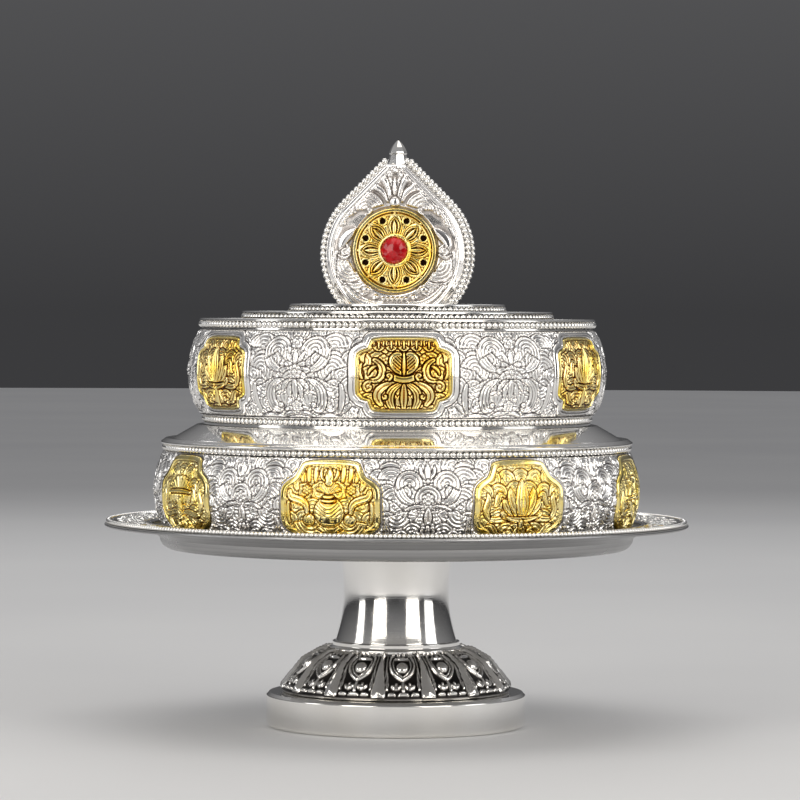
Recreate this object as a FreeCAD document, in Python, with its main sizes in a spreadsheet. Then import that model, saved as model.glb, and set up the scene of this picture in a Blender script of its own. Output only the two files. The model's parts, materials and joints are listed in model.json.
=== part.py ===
"""A mandala offering set on a tall-footed tray, in millimetres.

The stand is a spun foot, a cast lotus dome, a waisted stem and a wide shallow tray, pulled together by one
rod.  On the tray stands an inverted base pan with a polished top.  Three open rings nest on that top, one
inside another, and a jewel-shaped ornament stands in the smallest ring.  All above the tray lifts off.

Frame: +Z up, the origin is the centre of the foot's resting face, and the ornament faces -Y.
"""
import FreeCAD
import Part
import Sketcher
import math
import os

V = FreeCAD.Vector
Z_AXIS = V(0, 0, 1)

SIZES = {
    # walls
    "sheet_wall": 1.0,        # spun and stamped sheet
    "bead_radius": 1.1,       # beaded wires on the pan and the rings
    "solder_gap": 0.05,       # film between parts that are soldered or pressed together
    "edge": 0.4,              # width of the small bevels on cast rims
    # foot
    "foot_radius": 44.5,
    "foot_height": 11.8,
    "foot_corner": 1.6,
    "foot_lip": 4.0,          # width of the turned-in resting edge
    "foot_top_reach": 3.0,    # how far the plinth's top reaches in under the dome
    "pad_thickness": 1.0,
    "pad_hole_radius": 9.0,
    "dome_foot_radius": 39.2,
    "dome_shoulder_radius": 31.4,
    "dome_shoulder_height": 22.6,
    "dome_top_radius": 25.6,
    "dome_top_height": 26.0,
    "collar_radius": 22.8,
    "collar_step_radius": 21.8,
    "collar_step_low": 1.2,
    "collar_step_high": 1.8,
    "collar_height": 3.3,
    "collar_reach": 4.0,      # how far the collar reaches in from the stem's waist
    # stem
    "stem_foot_radius": 20.8,
    "stem_flare_radius": 19.0,
    "stem_flare_height": 36.4,
    "stem_waist_radius": 18.0,
    "stem_waist_height": 46.5,
    "stem_top_radius": 19.8,
    "stem_upper_swell": 0.45,
    # tray
    "tray_radius": 100.0,
    "tray_floor_height": 61.0,
    "tray_floor_radius": 77.0,
    "tray_bend_width": 3.0,
    "tray_bend_rise": 1.3,
    "tray_crease_radius": 81.2,
    "tray_crease_height": 65.0,
    "tray_well_radius": 84.6,
    "tray_ledge_height": 67.6,
    "tray_edge_height": 68.7,
    "tray_lip_width": 2.05,   # plain rolled edge outside the border
    "tray_bead_radius": 0.75,
    "border_thickness": 0.7,
    # fastening
    "rod_radius": 3.0,
    "rod_clearance": 0.2,
    "rod_tail": 7.5,
    "washer_radius": 7.0,
    "washer_thickness": 1.2,
    "nut_radius": 5.8,
    "nut_height": 5.0,
    # base pan
    "pan_foot_radius": 76.6,
    "pan_foot_ring_height": 1.2,
    "pan_foot_ring_width": 2.75,
    "pan_foot_ring_inset": 0.25,
    "pan_bulge_radius": 82.4,
    "pan_bulge_rise": 18.5,
    "pan_neck_radius": 79.2,
    "pan_neck_rise": 32.6,
    "pan_rim_width": 2.2,
    "pan_lip_radius": 80.8,
    "pan_lip_height": 1.0,
    "pan_plate_inset": 0.2,   # how far the top plate's edge lies below the rim
    "pan_top_rise": 36.8,
    "pan_plateau_radius": 68.6,
    "pan_plateau_rise": 41.4,
    "pan_clock": -7.0,        # degrees that the pan's panels are turned from the front
    # rings
    "ring_height": 36.2,
    "ring_step": 2.5,         # how much taller each nested ring is than the one around it
    "ring_rim_height": 3.8,
    "ring_rim_step": 0.7,     # height of the step under the rim's beads
    "ring_rim_depth": 2.1,    # how far the rim reaches in behind the wall's edge
    "ring_foot_height": 3.7,
    "ring_foot_lip": 0.9,     # height of the lip under the foot's beads
    "ring_bulge_out": 2.6,    # how far the wall swells beyond the rim
    "ring_neck_in": 1.1,      # how far the wall starts inside the rim
    "ring_turn_in": 5.0,      # width of the turned-in rim
    "ring_bead_inset": 0.15,  # how far the foot's beads stay inside the wall
    "outer_rim_radius": 68.2,
    "middle_rim_radius": 53.7,
    "inner_rim_radius": 37.4,
    "outer_clock": 10.7,
    "middle_clock": 0.0,
    "inner_clock": 20.0,
    # gilt panels
    "panel_thickness": 0.6,
    "pan_panel_width": 35.2,
    "pan_panel_height": 30.4,
    "outer_panel_width": 31.2,
    "outer_panel_height": 24.2,
    "middle_panel_width": 27.0,
    "middle_panel_height": 24.2,
    "inner_panel_width": 21.0,
    "inner_panel_height": 24.2,
    "panel_corner": 6.5,
    # ornament
    "cap_radius": 31.6,
    "cap_drop": 6.3,          # the cap's floor below the inner ring's top
    "cap_rim": 4.2,
    "cap_flare": 0.3,
    "ledge_width": 3.0,
    "plaque_radius": 24.1,
    "plaque_centre_height": 161.8,
    "plaque_half_depth": 6.0,
    "plaque_tip_width": 7.0,
    "plaque_bead_radius": 1.05,
    "wheel_radius": 14.5,
    "wheel_centre_height": 163.0,
    "wheel_thickness": 1.2,
    "wheel_rim_width": 1.6,
    "wheel_rim_height": 0.8,
    "wheel_hole_circle": 10.8,
    "wheel_hole_radius": 1.0,
    "gem_radius": 4.6,
    "gem_height": 2.6,
    "gem_girdle_height": 1.2,
    "gem_table_radius": 2.5,
    "bezel_width": 1.1,
    "bezel_step": 0.8,
    "lotus_ring_radius": 20.6,
    "lotus_ring_width": 3.6,
    "lotus_ring_height": 2.4,
    "block_half_width": 4.4,
    "block_height": 6.0,
    "screw_radius": 1.5,
    "screw_clearance": 0.1,
    "screw_reach": 5.0,       # how far the screw reaches into the block
    "screw_head_radius": 3.0,
    "screw_head_height": 1.8,
    "finial_base_radius": 3.9,
    "finial_waist_radius": 2.85,
    "finial_waist_rise": 3.4,
    "finial_bud_radius": 3.15,
    "finial_bud_rise": 3.9,
    "finial_tip_radius": 0.25,
    "finial_height": 8.6,
}
PAN_PANELS = 8
OUTER_PANELS = 6
MIDDLE_PANELS = 5
INNER_PANELS = 4
WHEEL_HOLES = 8
ROOT_TWO = math.sqrt(2)

doc = FreeCAD.newDocument("mandala_offering_set")
sheet = doc.addObject("Spreadsheet::Sheet", "Dims")


class Size:
    """A number together with the spreadsheet expression that it comes from."""

    def __init__(self, value, text):
        self.value = value
        self.text = text

    def __add__(self, other):
        other = size_of(other)
        return Size(self.value + other.value, f"({self.text} + {other.text})")

    def __sub__(self, other):
        other = size_of(other)
        return Size(self.value - other.value, f"({self.text} - {other.text})")

    def __mul__(self, other):
        other = size_of(other)
        return Size(self.value * other.value, f"({self.text} * {other.text})")

    def __truediv__(self, other):
        other = size_of(other)
        return Size(self.value / other.value, f"({self.text} / {other.text})")

    def __neg__(self):
        return Size(-self.value, f"(-1 * {self.text})")

def size_of(number):
    """A plain number as a Size; a Size stays as it is."""
    return number if isinstance(number, Size) else Size(float(number), repr(float(number)))


class Dimensions:
    """The spreadsheet's cells as Sizes, by name."""

    def __init__(self, table):
        for row, (name, value) in enumerate(table.items(), start=1):
            sheet.set(f"A{row}", name)
            sheet.set(f"B{row}", str(value))
            sheet.setAlias(f"B{row}", name)
            setattr(self, name, Size(value, f"Dims.{name}"))
        doc.recompute()


D = Dimensions(SIZES)
kept = []


def keep(sub_part, label):
    """Marks a document object as a sub-part that is written out under its label."""
    sub_part.Label = label
    kept.append(sub_part)
    return sub_part


# ---------------------------------------------------------------- sketches

def origin_plane(body, role):
    return next(f for f in body.Origin.OriginFeatures if f.Role == role)


def new_sketch(body, role, name):
    sketch = body.newObject("Sketcher::SketchObject", name)
    sketch.AttachmentSupport = (origin_plane(body, role), [""])
    sketch.MapMode = "FlatFace"
    return sketch


def pin_point(sketch, geometry, position, across, up):
    """Holds one point of a sketch at (across, up), each bound to the spreadsheet."""
    for kind, axis, size in (("DistanceX", -2, size_of(across)), ("DistanceY", -1, size_of(up))):
        if abs(size.value) < 1e-9:
            sketch.addConstraint(Sketcher.Constraint("PointOnObject", geometry, position, axis))
            continue
        index = sketch.addConstraint(Sketcher.Constraint(kind, -1, 1, geometry, position, size.value))
        sketch.setExpression(f"Constraints[{index}]", size.text)


def numbers(point):
    return V(size_of(point[0]).value, size_of(point[1]).value, 0)


def arc_through(start, middle, end):
    """An arc for a sketch, and whether it runs anticlockwise from start to end."""
    circle = Part.Circle(start, middle, end)
    centre = circle.Center
    anticlockwise = (middle - start).cross(end - middle).z > 0
    first, last = (start, end) if anticlockwise else (end, start)
    low = math.atan2(first.y - centre.y, first.x - centre.x)
    high = math.atan2(last.y - centre.y, last.x - centre.x)
    if high <= low:
        high += 2 * math.pi
    return Part.ArcOfCircle(Part.Circle(centre, Z_AXIS, circle.Radius), low, high), anticlockwise


def outline(sketch, start, *steps, closed=True):
    """A run of lines and arcs: a step is a corner (across, up), or (middle, end) for an arc."""
    corner = start
    ends = []
    for step in steps:
        is_arc = isinstance(step[0], tuple)
        end = step[1] if is_arc else step
        if is_arc:
            arc, anticlockwise = arc_through(numbers(corner), numbers(step[0]), numbers(end))
            edge = sketch.addGeometry(arc, False)
            first, last = (1, 2) if anticlockwise else (2, 1)
            marker = sketch.addGeometry(Part.Point(numbers(step[0])), True)
            sketch.addConstraint(Sketcher.Constraint("PointOnObject", marker, 1, edge))
            pin_point(sketch, marker, 1, *step[0])
        else:
            edge = sketch.addGeometry(Part.LineSegment(numbers(corner), numbers(end)), False)
            first, last = 1, 2
        if ends:
            sketch.addConstraint(Sketcher.Constraint("Coincident", ends[-1][0], ends[-1][2], edge, first))
        else:
            pin_point(sketch, edge, first, *start)
        if closed and step is steps[-1]:
            sketch.addConstraint(Sketcher.Constraint("Coincident", edge, last, ends[0][0], ends[0][1]))
        else:
            pin_point(sketch, edge, last, *end)
        ends.append((edge, first, last))
        corner = end
    return sketch


def ring_circle(sketch, radius, across=0, up=0):
    """A circle in a sketch, with its centre and radius bound to the spreadsheet."""
    radius = size_of(radius)
    circle = sketch.addGeometry(Part.Circle(numbers((across, up)), Z_AXIS, radius.value), False)
    pin_point(sketch, circle, 3, across, up)
    index = sketch.addConstraint(Sketcher.Constraint("Radius", circle, radius.value))
    sketch.setExpression(f"Constraints[{index}]", radius.text)
    return circle


# ---------------------------------------------------------------- solids

def new_body(label):
    return doc.addObject("PartDesign::Body", label)


def revolved(label, start, *steps):
    """A body turned about the Z axis from an outline of (radius, height) points."""
    body = new_body(label)
    ends_in_arc = isinstance(steps[-1][0], tuple)
    way_back = () if ends_in_arc else (start,)
    sketch = outline(new_sketch(body, "XZ_Plane", label + "_profile"), start, *steps, *way_back)
    turned = body.newObject("PartDesign::Revolution", label + "_turned")
    turned.Profile = sketch
    turned.ReferenceAxis = (sketch, ["V_Axis"])
    turned.Angle = 360
    return body


def collared(label, inner, outer, low, high):
    """A plain ring of rectangular section."""
    return revolved(label, (inner, low), (outer, low), (outer, high), (inner, high))


def wire_hoop(label, radius, height, wire_radius):
    """A round wire bent into a hoop about the Z axis."""
    hoop = doc.addObject("Part::Torus", label)
    hoop.setExpression("Radius1", size_of(radius).text)
    hoop.setExpression("Radius2", size_of(wire_radius).text)
    hoop.setExpression("Placement.Base.z", size_of(height).text)
    return hoop


def padded(label, role, depth, draw, backwards=False):
    """A body extruded from the outline that draw() puts in its sketch."""
    body = new_body(label)
    sketch = new_sketch(body, role, label + "_outline")
    draw(sketch)
    pad = body.newObject("PartDesign::Pad", label + "_pad")
    pad.Profile = sketch
    pad.setExpression("Length", size_of(depth).text)
    pad.Reversed = backwards
    return body


def hex_nut(label, low):
    """A hexagon nut on the tie rod, standing on height low."""
    prism = doc.addObject("Part::Prism", label + "_blank")
    prism.Polygon = 6
    prism.setExpression("Circumradius", D.nut_radius.text)
    prism.setExpression("Height", D.nut_height.text)
    bore = doc.addObject("Part::Cylinder", label + "_bore")
    bore.setExpression("Radius", (D.rod_radius + D.solder_gap).text)
    bore.setExpression("Height", D.nut_height.text)
    nut = doc.addObject("Part::Cut", label)
    nut.Base = prism
    nut.Tool = bore
    nut.setExpression("Placement.Base.z", size_of(low).text)
    return nut


def turned_copies(label, master, count, clock):
    """One node of equal solids, spread evenly about the Z axis from the front."""
    group = doc.addObject("Part::Feature", label)
    copies = []
    for index in range(count):
        copy = master.Shape.copy()
        copy.rotate(V(0, 0, 0), Z_AXIS, clock.value + index * 360 / count)
        copies.append(copy)
    group.Shape = Part.makeCompound(copies)
    return group


# ---------------------------------------------------------------- stand

def make_foot():
    rise, corner, wall = D.foot_height, D.foot_corner, D.sheet_wall
    radius = D.foot_radius
    eased = corner * (1 - 1 / ROOT_TWO)
    inner = radius - corner - D.foot_lip
    top_inner = D.dome_foot_radius - D.foot_top_reach
    keep(revolved(
        "foot_plinth",
        (inner, 0), (radius - corner, 0), ((radius - eased, eased), (radius, corner)),
        (radius, rise - wall), (radius - wall, rise), (top_inner, rise),
        (top_inner, rise - wall), (radius - wall * 2, rise - wall),
        (radius - wall * 2, wall), (inner, wall),
    ), "foot_plinth")
    low = rise + D.solder_gap
    shoulder, shoulder_rise = D.dome_shoulder_radius, D.dome_shoulder_height
    top, top_rise = D.dome_top_radius, D.dome_top_height
    hole = D.rod_radius + D.rod_clearance
    keep(revolved(
        "foot_lotus_dome",
        (D.dome_foot_radius - wall * 2, low), (D.dome_foot_radius - wall / 2, low),
        (D.dome_foot_radius, low + wall), (shoulder, shoulder_rise), (top, top_rise), (hole, top_rise),
        (hole, top_rise - wall), (top, top_rise - wall), (shoulder - wall, shoulder_rise - wall),
        (D.dome_foot_radius - wall * 2, low + wall),
    ), "foot_lotus_dome")
    base = top_rise + D.solder_gap
    collar_inner = D.stem_waist_radius - D.collar_reach
    keep(revolved(
        "stem_collar",
        (collar_inner, base), (D.collar_radius, base), (D.collar_radius, base + D.collar_step_low),
        (D.collar_step_radius, base + D.collar_step_high),
        (D.collar_step_radius, top_rise + D.collar_height), (collar_inner, top_rise + D.collar_height),
    ), "stem_collar")
    inside = radius - wall * 2 - D.solder_gap
    keep(collared("foot_pad", D.pad_hole_radius, inside, wall + D.solder_gap,
                  wall + D.solder_gap + D.pad_thickness), "foot_pad")


def make_stem():
    wall = D.sheet_wall
    low = D.dome_top_height + D.collar_height + D.solder_gap
    high = D.tray_floor_height - D.solder_gap
    waist, waist_rise = D.stem_waist_radius, D.stem_waist_height
    flare = (D.stem_flare_radius, D.stem_flare_height)
    upper = (waist + D.stem_upper_swell, (waist_rise + high) / 2)
    keep(revolved(
        "stem",
        (D.stem_foot_radius - wall, low), (D.stem_foot_radius, low), (flare, (waist, waist_rise)),
        (upper, (D.stem_top_radius, high)), (D.stem_top_radius - wall, high),
        ((upper[0] - wall, upper[1]), (waist - wall, waist_rise)),
        ((flare[0] - wall, flare[1]), (D.stem_foot_radius - wall, low)),
    ), "stem")


def make_tray():
    wall = D.sheet_wall
    floor, floor_radius = D.tray_floor_height, D.tray_floor_radius
    crease = (D.tray_crease_radius, D.tray_crease_height)
    well, ledge = D.tray_well_radius, D.tray_ledge_height
    edge, edge_rise = D.tray_radius - wall / 2, D.tray_edge_height
    hole = D.rod_radius + D.rod_clearance
    bend = (floor_radius + D.tray_bend_width, floor + D.tray_bend_rise)
    border_edge = D.tray_radius - D.tray_lip_width
    keep(revolved(
        "tray_dish",
        (hole, floor), (floor_radius, floor), (bend, crease), (well, ledge), (edge, edge_rise),
        ((D.tray_radius, edge_rise + wall / 2), (edge, edge_rise + wall)), (border_edge, edge_rise + wall),
        (well - wall, ledge + wall), (crease[0] - wall, crease[1] + wall / 2),
        ((bend[0] - wall / 2, bend[1] + wall), (floor_radius - wall / 2, floor + wall)),
        (hole, floor + wall),
    ), "tray_dish")
    on_dish, lift = wall + D.solder_gap, D.border_thickness
    keep(revolved(
        "tray_border",
        (well - wall, ledge + on_dish), (border_edge, edge_rise + on_dish),
        (border_edge, edge_rise + on_dish + lift), (well - wall, ledge + on_dish + lift),
    ), "tray_border")
    bead = D.tray_bead_radius
    keep(wire_hoop("tray_edge_beads", border_edge + D.solder_gap + bead, edge_rise + on_dish + bead, bead),
         "tray_edge_beads")


def make_fastening():
    wall, gap = D.sheet_wall, D.solder_gap
    under_dome = D.dome_top_height - wall
    on_tray = D.tray_floor_height + wall
    bore = D.rod_radius + D.rod_clearance
    keep(collared("lower_washer", bore, D.washer_radius, under_dome - gap - D.washer_thickness,
                  under_dome - gap), "lower_washer")
    keep(hex_nut("lower_nut", under_dome - gap * 2 - D.washer_thickness - D.nut_height), "lower_nut")
    keep(collared("upper_washer", bore, D.washer_radius, on_tray + gap, on_tray + gap + D.washer_thickness),
         "upper_washer")
    keep(hex_nut("upper_nut", on_tray + gap * 2 + D.washer_thickness), "upper_nut")
    rod = doc.addObject("Part::Cylinder", "tie_rod")
    low = under_dome - D.rod_tail
    rod.setExpression("Radius", D.rod_radius.text)
    rod.setExpression("Height", (on_tray + D.rod_tail - low).text)
    rod.setExpression("Placement.Base.z", low.text)
    keep(rod, "tie_rod")


# ---------------------------------------------------------------- shared by the pan and the rings

def bulged_shell(label, foot, bulge, neck, wall):
    """A thin wall that swells between foot and neck; each is a (radius, height) point of its outer face."""
    def inward(point):
        return (point[0] - wall, point[1])
    return revolved(label, inward(foot), foot, (bulge, neck), inward(neck), (inward(bulge), inward(foot)))


def panel_outline(sketch, half_width, low, high, corner):
    """A cartouche: a rectangle whose corners are cut back in a small step and a slope."""
    step = corner / 3
    side = [(half_width, low + corner), (half_width, high - corner)]
    neck, shoulder = half_width - corner, half_width - step
    top = [(shoulder, high - corner), (neck, high - step), (neck, high)]
    other_top = [(-x, z) for x, z in reversed(top)]
    other_side = [(-x, z) for x, z in reversed(side)]
    foot = [(-shoulder, low + corner), (-neck, low + step), (-neck, low)]
    other_foot = [(-x, z) for x, z in reversed(foot)]
    corners = side + top + other_top + other_side + foot + other_foot
    outline(sketch, corners[0], *corners[1:], corners[0])


def gilt_panels(label, foot, bulge, neck, width, height, count, clock):
    """Curved plaques that lie on a bulged wall: a slice of a thicker wall, cut by a cartouche punch."""
    grow = D.panel_thickness + D.solder_gap
    outer = [(point[0] + grow, point[1]) for point in (foot, bulge, neck)]
    slice_body = bulged_shell(label + "_slice", *outer, D.panel_thickness)
    middle = (foot[1] + neck[1]) / 2
    punch = padded(label + "_punch", "XZ_Plane", bulge[0] * 2,
                   lambda sketch: panel_outline(sketch, width / 2, middle - height / 2, middle + height / 2,
                                                D.panel_corner))
    plaque = doc.addObject("Part::Common", label + "_plaque")
    plaque.Base = slice_body
    plaque.Tool = punch
    doc.recompute()
    return keep(turned_copies(label, plaque, count, clock), label)


# ---------------------------------------------------------------- base pan

def make_pan():
    wall, gap, bead = D.sheet_wall, D.solder_gap, D.bead_radius
    base = D.tray_floor_height + D.sheet_wall + gap
    foot_ring = D.pan_foot_ring_height
    foot = (D.pan_foot_radius, base + foot_ring + gap)
    bulge = (D.pan_bulge_radius, base + D.pan_bulge_rise)
    neck = (D.pan_neck_radius, base + D.pan_neck_rise)
    ring_outer = D.pan_foot_radius - D.pan_foot_ring_inset
    keep(collared("pan_foot_ring", ring_outer - D.pan_foot_ring_width, ring_outer, base, base + foot_ring),
         "pan_foot_ring")
    keep(bulged_shell("pan_wall", foot, bulge, neck, wall), "pan_wall")
    lip_low = neck[1] + gap
    top = base + D.pan_top_rise
    plateau = base + D.pan_plateau_rise
    inner = D.pan_neck_radius - D.pan_rim_width
    groove = D.pan_neck_radius - wall
    lip, lip_under = D.pan_lip_radius, lip_low + bead * 2 + gap
    keep(revolved(
        "pan_rim",
        (inner, lip_low), (groove, lip_low), (groove, lip_under), (lip - D.edge, lip_under),
        ((lip, lip_under + D.pan_lip_height / 2), (lip - D.edge, lip_under + D.pan_lip_height)),
        (D.pan_neck_radius, top), (inner, top),
    ), "pan_rim")
    keep(wire_hoop("pan_rim_beads", groove + bead + gap, lip_low + bead, bead), "pan_rim_beads")
    seat = inner - gap
    seat_top = top - D.pan_plate_inset
    keep(revolved(
        "pan_top_plate",
        (0, plateau - wall), (D.pan_plateau_radius - wall / 2, plateau - wall), (seat, seat_top - wall),
        (seat, seat_top), (D.pan_plateau_radius, plateau), (0, plateau),
    ), "pan_top_plate")
    gilt_panels("pan_gilt_panels", foot, bulge, neck, D.pan_panel_width, D.pan_panel_height, PAN_PANELS,
                D.pan_clock)
    return plateau


# ---------------------------------------------------------------- rings

def make_ring(name, base, rim_radius, height, panel_width, panel_height, panels, clock):
    """One open ring: a turned-in foot and rim, each with a beaded wire, and a swelling wall between them."""
    wall, gap, bead = D.sheet_wall, D.solder_gap, D.bead_radius
    neck_radius = rim_radius - D.ring_neck_in
    top = base + height
    foot_top, rim_low = base + D.ring_foot_height, top - D.ring_rim_height
    foot = (neck_radius, foot_top + gap)
    neck = (neck_radius, rim_low - gap)
    bulge = (rim_radius + D.ring_bulge_out, (foot[1] + neck[1]) / 2)
    opening = rim_radius - D.ring_turn_in
    keep(bulged_shell(f"{name}_wall", foot, bulge, neck, wall), f"{name}_wall")
    edge = D.edge
    foot_groove = neck_radius - D.ring_bead_inset - bead * 2 - gap
    lip_top = base + D.ring_foot_lip
    collar_low = lip_top + bead * 2 + gap * 2
    lip_outer = foot_groove + bead + wall / 2
    keep(revolved(
        f"{name}_foot_rim",
        (opening, base), (lip_outer, base), (lip_outer, lip_top), (foot_groove, lip_top),
        (foot_groove, collar_low), (neck_radius, collar_low),
        (neck_radius + edge, (collar_low + foot_top) / 2), (neck_radius, foot_top), (opening, foot_top),
    ), f"{name}_foot_rim")
    keep(wire_hoop(f"{name}_foot_beads", foot_groove + bead + gap, lip_top + gap + bead, bead),
         f"{name}_foot_beads")
    rim_groove = rim_radius - bead * 2 - gap
    inside = neck_radius - D.ring_rim_depth
    beads_low = rim_low + D.ring_rim_step
    lip_under = beads_low + bead * 2 + gap * 2
    keep(revolved(
        f"{name}_top_rim",
        (inside, rim_low), (rim_radius - wall, rim_low), (rim_radius - wall, beads_low),
        (rim_groove, beads_low), (rim_groove, lip_under), (rim_radius - edge, lip_under),
        (rim_radius - edge, top - edge), (rim_radius - edge * 2, top), (opening, top), (opening, top - wall),
        (inside, top - wall),
    ), f"{name}_top_rim")
    keep(wire_hoop(f"{name}_top_beads", rim_groove + bead + gap, beads_low + bead + gap, bead),
         f"{name}_top_beads")
    gilt_panels(f"{name}_gilt_panels", foot, bulge, neck, panel_width, panel_height, panels, clock)
    return top


def make_rings(plateau):
    base = plateau + D.solder_gap
    make_ring("outer_ring", base, D.outer_rim_radius, D.ring_height, D.outer_panel_width,
              D.outer_panel_height, OUTER_PANELS, D.outer_clock)
    make_ring("middle_ring", base, D.middle_rim_radius, D.ring_height + D.ring_step, D.middle_panel_width,
              D.middle_panel_height, MIDDLE_PANELS, D.middle_clock)
    top = make_ring("inner_ring", base, D.inner_rim_radius, D.ring_height + D.ring_step * 2,
                    D.inner_panel_width, D.inner_panel_height, INNER_PANELS, D.inner_clock)
    return make_ledge(top)


def make_ledge(top):
    """A Z-section sleeve inside the inner ring's rim: the ornament's cap rests on its inner flange."""
    wall, floor = D.sheet_wall, top - D.cap_drop
    sleeve = D.inner_rim_radius - D.ring_neck_in - D.ring_rim_depth - D.solder_gap
    shelf, shelf_top = D.cap_radius - D.ledge_width, floor - wall
    keep(revolved(
        "inner_ring_ledge",
        (shelf, shelf_top - wall), (sleeve, shelf_top - wall), (sleeve, top - wall - D.solder_gap),
        (sleeve - wall, top - wall - D.solder_gap), (sleeve - wall, shelf_top), (shelf, shelf_top),
    ), "inner_ring_ledge")
    return floor


# ---------------------------------------------------------------- ornament

def tip_height_of(radius):
    """The height where the plaque's sides, leaning in at 45 degrees, are as far apart as the tip is wide."""
    return D.plaque_centre_height + radius * ROOT_TWO - D.plaque_tip_width / 2


def jewel_sides(radius, foot):
    """The left and right side of a circle cut flat at its foot, running up at 45 degrees to a narrow tip."""
    centre = D.plaque_centre_height
    lean = radius / ROOT_TWO
    tip = D.plaque_tip_width / 2
    tip_height = tip_height_of(radius)
    drop = size_of(centre - foot)
    # Half the chord at height foot, written so that the spreadsheet can work it out too.
    chord = Size(math.sqrt(size_of(radius).value ** 2 - drop.value ** 2),
                 f"sqrt({size_of(radius).text} ^ 2 - {drop.text} ^ 2)")
    left = ((-chord, foot), ((-radius, centre), (-lean, centre + lean)), (-tip, tip_height))
    right = ((tip, tip_height), (lean, centre + lean), ((radius, centre), (chord, foot)))
    return left, right


def jewel_outline(sketch, radius, foot):
    left, right = jewel_sides(radius, foot)
    outline(sketch, left[0], *left[1:], *right, left[0])


def make_plaque_half(side, sign, foot):
    """One stamped half of the hollow plaque, open towards the joint plane."""
    wall = D.sheet_wall
    label = f"ornament_{side}_shell"
    body = padded(label, "XZ_Plane", D.plaque_half_depth, lambda s: jewel_outline(s, D.plaque_radius, foot),
                  backwards=sign > 0)
    hollow = new_sketch(body, "XZ_Plane", label + "_hollow")
    jewel_outline(hollow, D.plaque_radius - wall, foot + wall)
    pocket = body.newObject("PartDesign::Pocket", label + "_pocket")
    pocket.Profile = hollow
    pocket.setExpression("Length", (D.plaque_half_depth - wall).text)
    pocket.Reversed = sign < 0
    keep(body, label)


def make_plaque_beads(side, sign, foot):
    """Two beaded wires that run up the plaque's edge from its foot to the finial."""
    radius = D.plaque_radius + D.plaque_bead_radius + D.solder_gap
    offset = size_of(D.plaque_half_depth - D.plaque_bead_radius) * sign
    solids = []
    sides = jewel_sides(radius, foot + D.plaque_bead_radius)
    for hand, run in zip(("left", "right"), sides):
        spine = doc.addObject("Sketcher::SketchObject", f"{side}_bead_spine_{hand}")
        spine.Placement = FreeCAD.Placement(V(0, offset.value, 0), FreeCAD.Rotation(V(1, 0, 0), 90))
        outline(spine, run[0], *run[1:], closed=False)
        doc.recompute()
        wire = spine.Shape.Wires[0]
        edge = wire.OrderedEdges[0]
        start = edge.valueAt(edge.FirstParameter)
        tangent = edge.tangentAt(edge.FirstParameter)
        section = doc.addObject("Part::Circle", spine.Name + "_section")
        section.setExpression("Radius", D.plaque_bead_radius.text)
        section.Placement = FreeCAD.Placement(start, FreeCAD.Rotation(Z_AXIS, tangent))
        sweep = doc.addObject("Part::Sweep", spine.Name + "_wire")
        sweep.Sections = [section]
        sweep.Spine = (spine, [f"Edge{index + 1}" for index in range(len(wire.Edges))])
        sweep.Solid = True
        solids.append(sweep)
    group = doc.addObject("Part::Compound", f"ornament_{side}_beads")
    group.Links = solids
    keep(group, f"ornament_{side}_beads")


def stand_off(sub_part, sign):
    """Turns a sub-part made along +Z so that it stands out of the plaque's front (sign -1) or back face."""
    upright = FreeCAD.Rotation(V(1, 0, 0), -90 * sign)
    sub_part.Placement = FreeCAD.Placement(V(0, 0, 0), upright)
    sub_part.setExpression("Placement.Base.z", D.wheel_centre_height.text)
    sub_part.setExpression("Placement.Base.y", (D.plaque_half_depth * sign).text)
    return sub_part


def make_wheel(side, sign):
    """The gilt wheel, its bezel and its stone, one set on each face of the plaque."""
    gap, thick, rim = D.solder_gap, D.wheel_thickness, D.wheel_rim_width
    radius = D.wheel_radius
    label = f"ornament_{side}_wheel"
    rim_top = thick + D.wheel_rim_height
    body = revolved(label, (0, gap), (radius, gap), (radius, rim_top), (radius - rim, rim_top),
                    (radius - rim, thick), (0, thick))
    doc.recompute()
    holes = new_sketch(body, "XY_Plane", label + "_hole")
    # Half a pitch off the top, so that the holes lie between the petals.
    half_pitch = math.pi / WHEEL_HOLES
    ring_circle(holes, D.wheel_hole_radius, D.wheel_hole_circle * math.sin(half_pitch),
                D.wheel_hole_circle * math.cos(half_pitch))
    pocket = body.newObject("PartDesign::Pocket", label + "_pocket")
    pocket.Profile = holes
    pocket.Type = "ThroughAll"
    pocket.Midplane = True
    pattern = body.newObject("PartDesign::PolarPattern", label + "_holes")
    pattern.Originals = [pocket]
    pattern.Axis = (holes, ["N_Axis"])
    pattern.Angle = 360
    pattern.Occurrences = WHEEL_HOLES
    body.Tip = pattern
    keep(stand_off(body, sign), label)
    low = thick + gap
    gem, girdle, gem_top = D.gem_radius, low + D.gem_girdle_height, low + D.gem_height
    bezel = gem + D.bezel_width
    keep(stand_off(revolved(
        f"ornament_{side}_bezel", (gem + gap, low), (bezel, low), (bezel, low + D.bezel_step),
        (gem + gap * 3, girdle), (gem + gap, girdle),
    ), sign), f"ornament_{side}_bezel")
    keep(stand_off(revolved(
        f"ornament_{side}_stone", (0, low), (gem, low), (gem, girdle), (D.gem_table_radius, gem_top),
        (0, gem_top),
    ), sign), f"ornament_{side}_stone")


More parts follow.
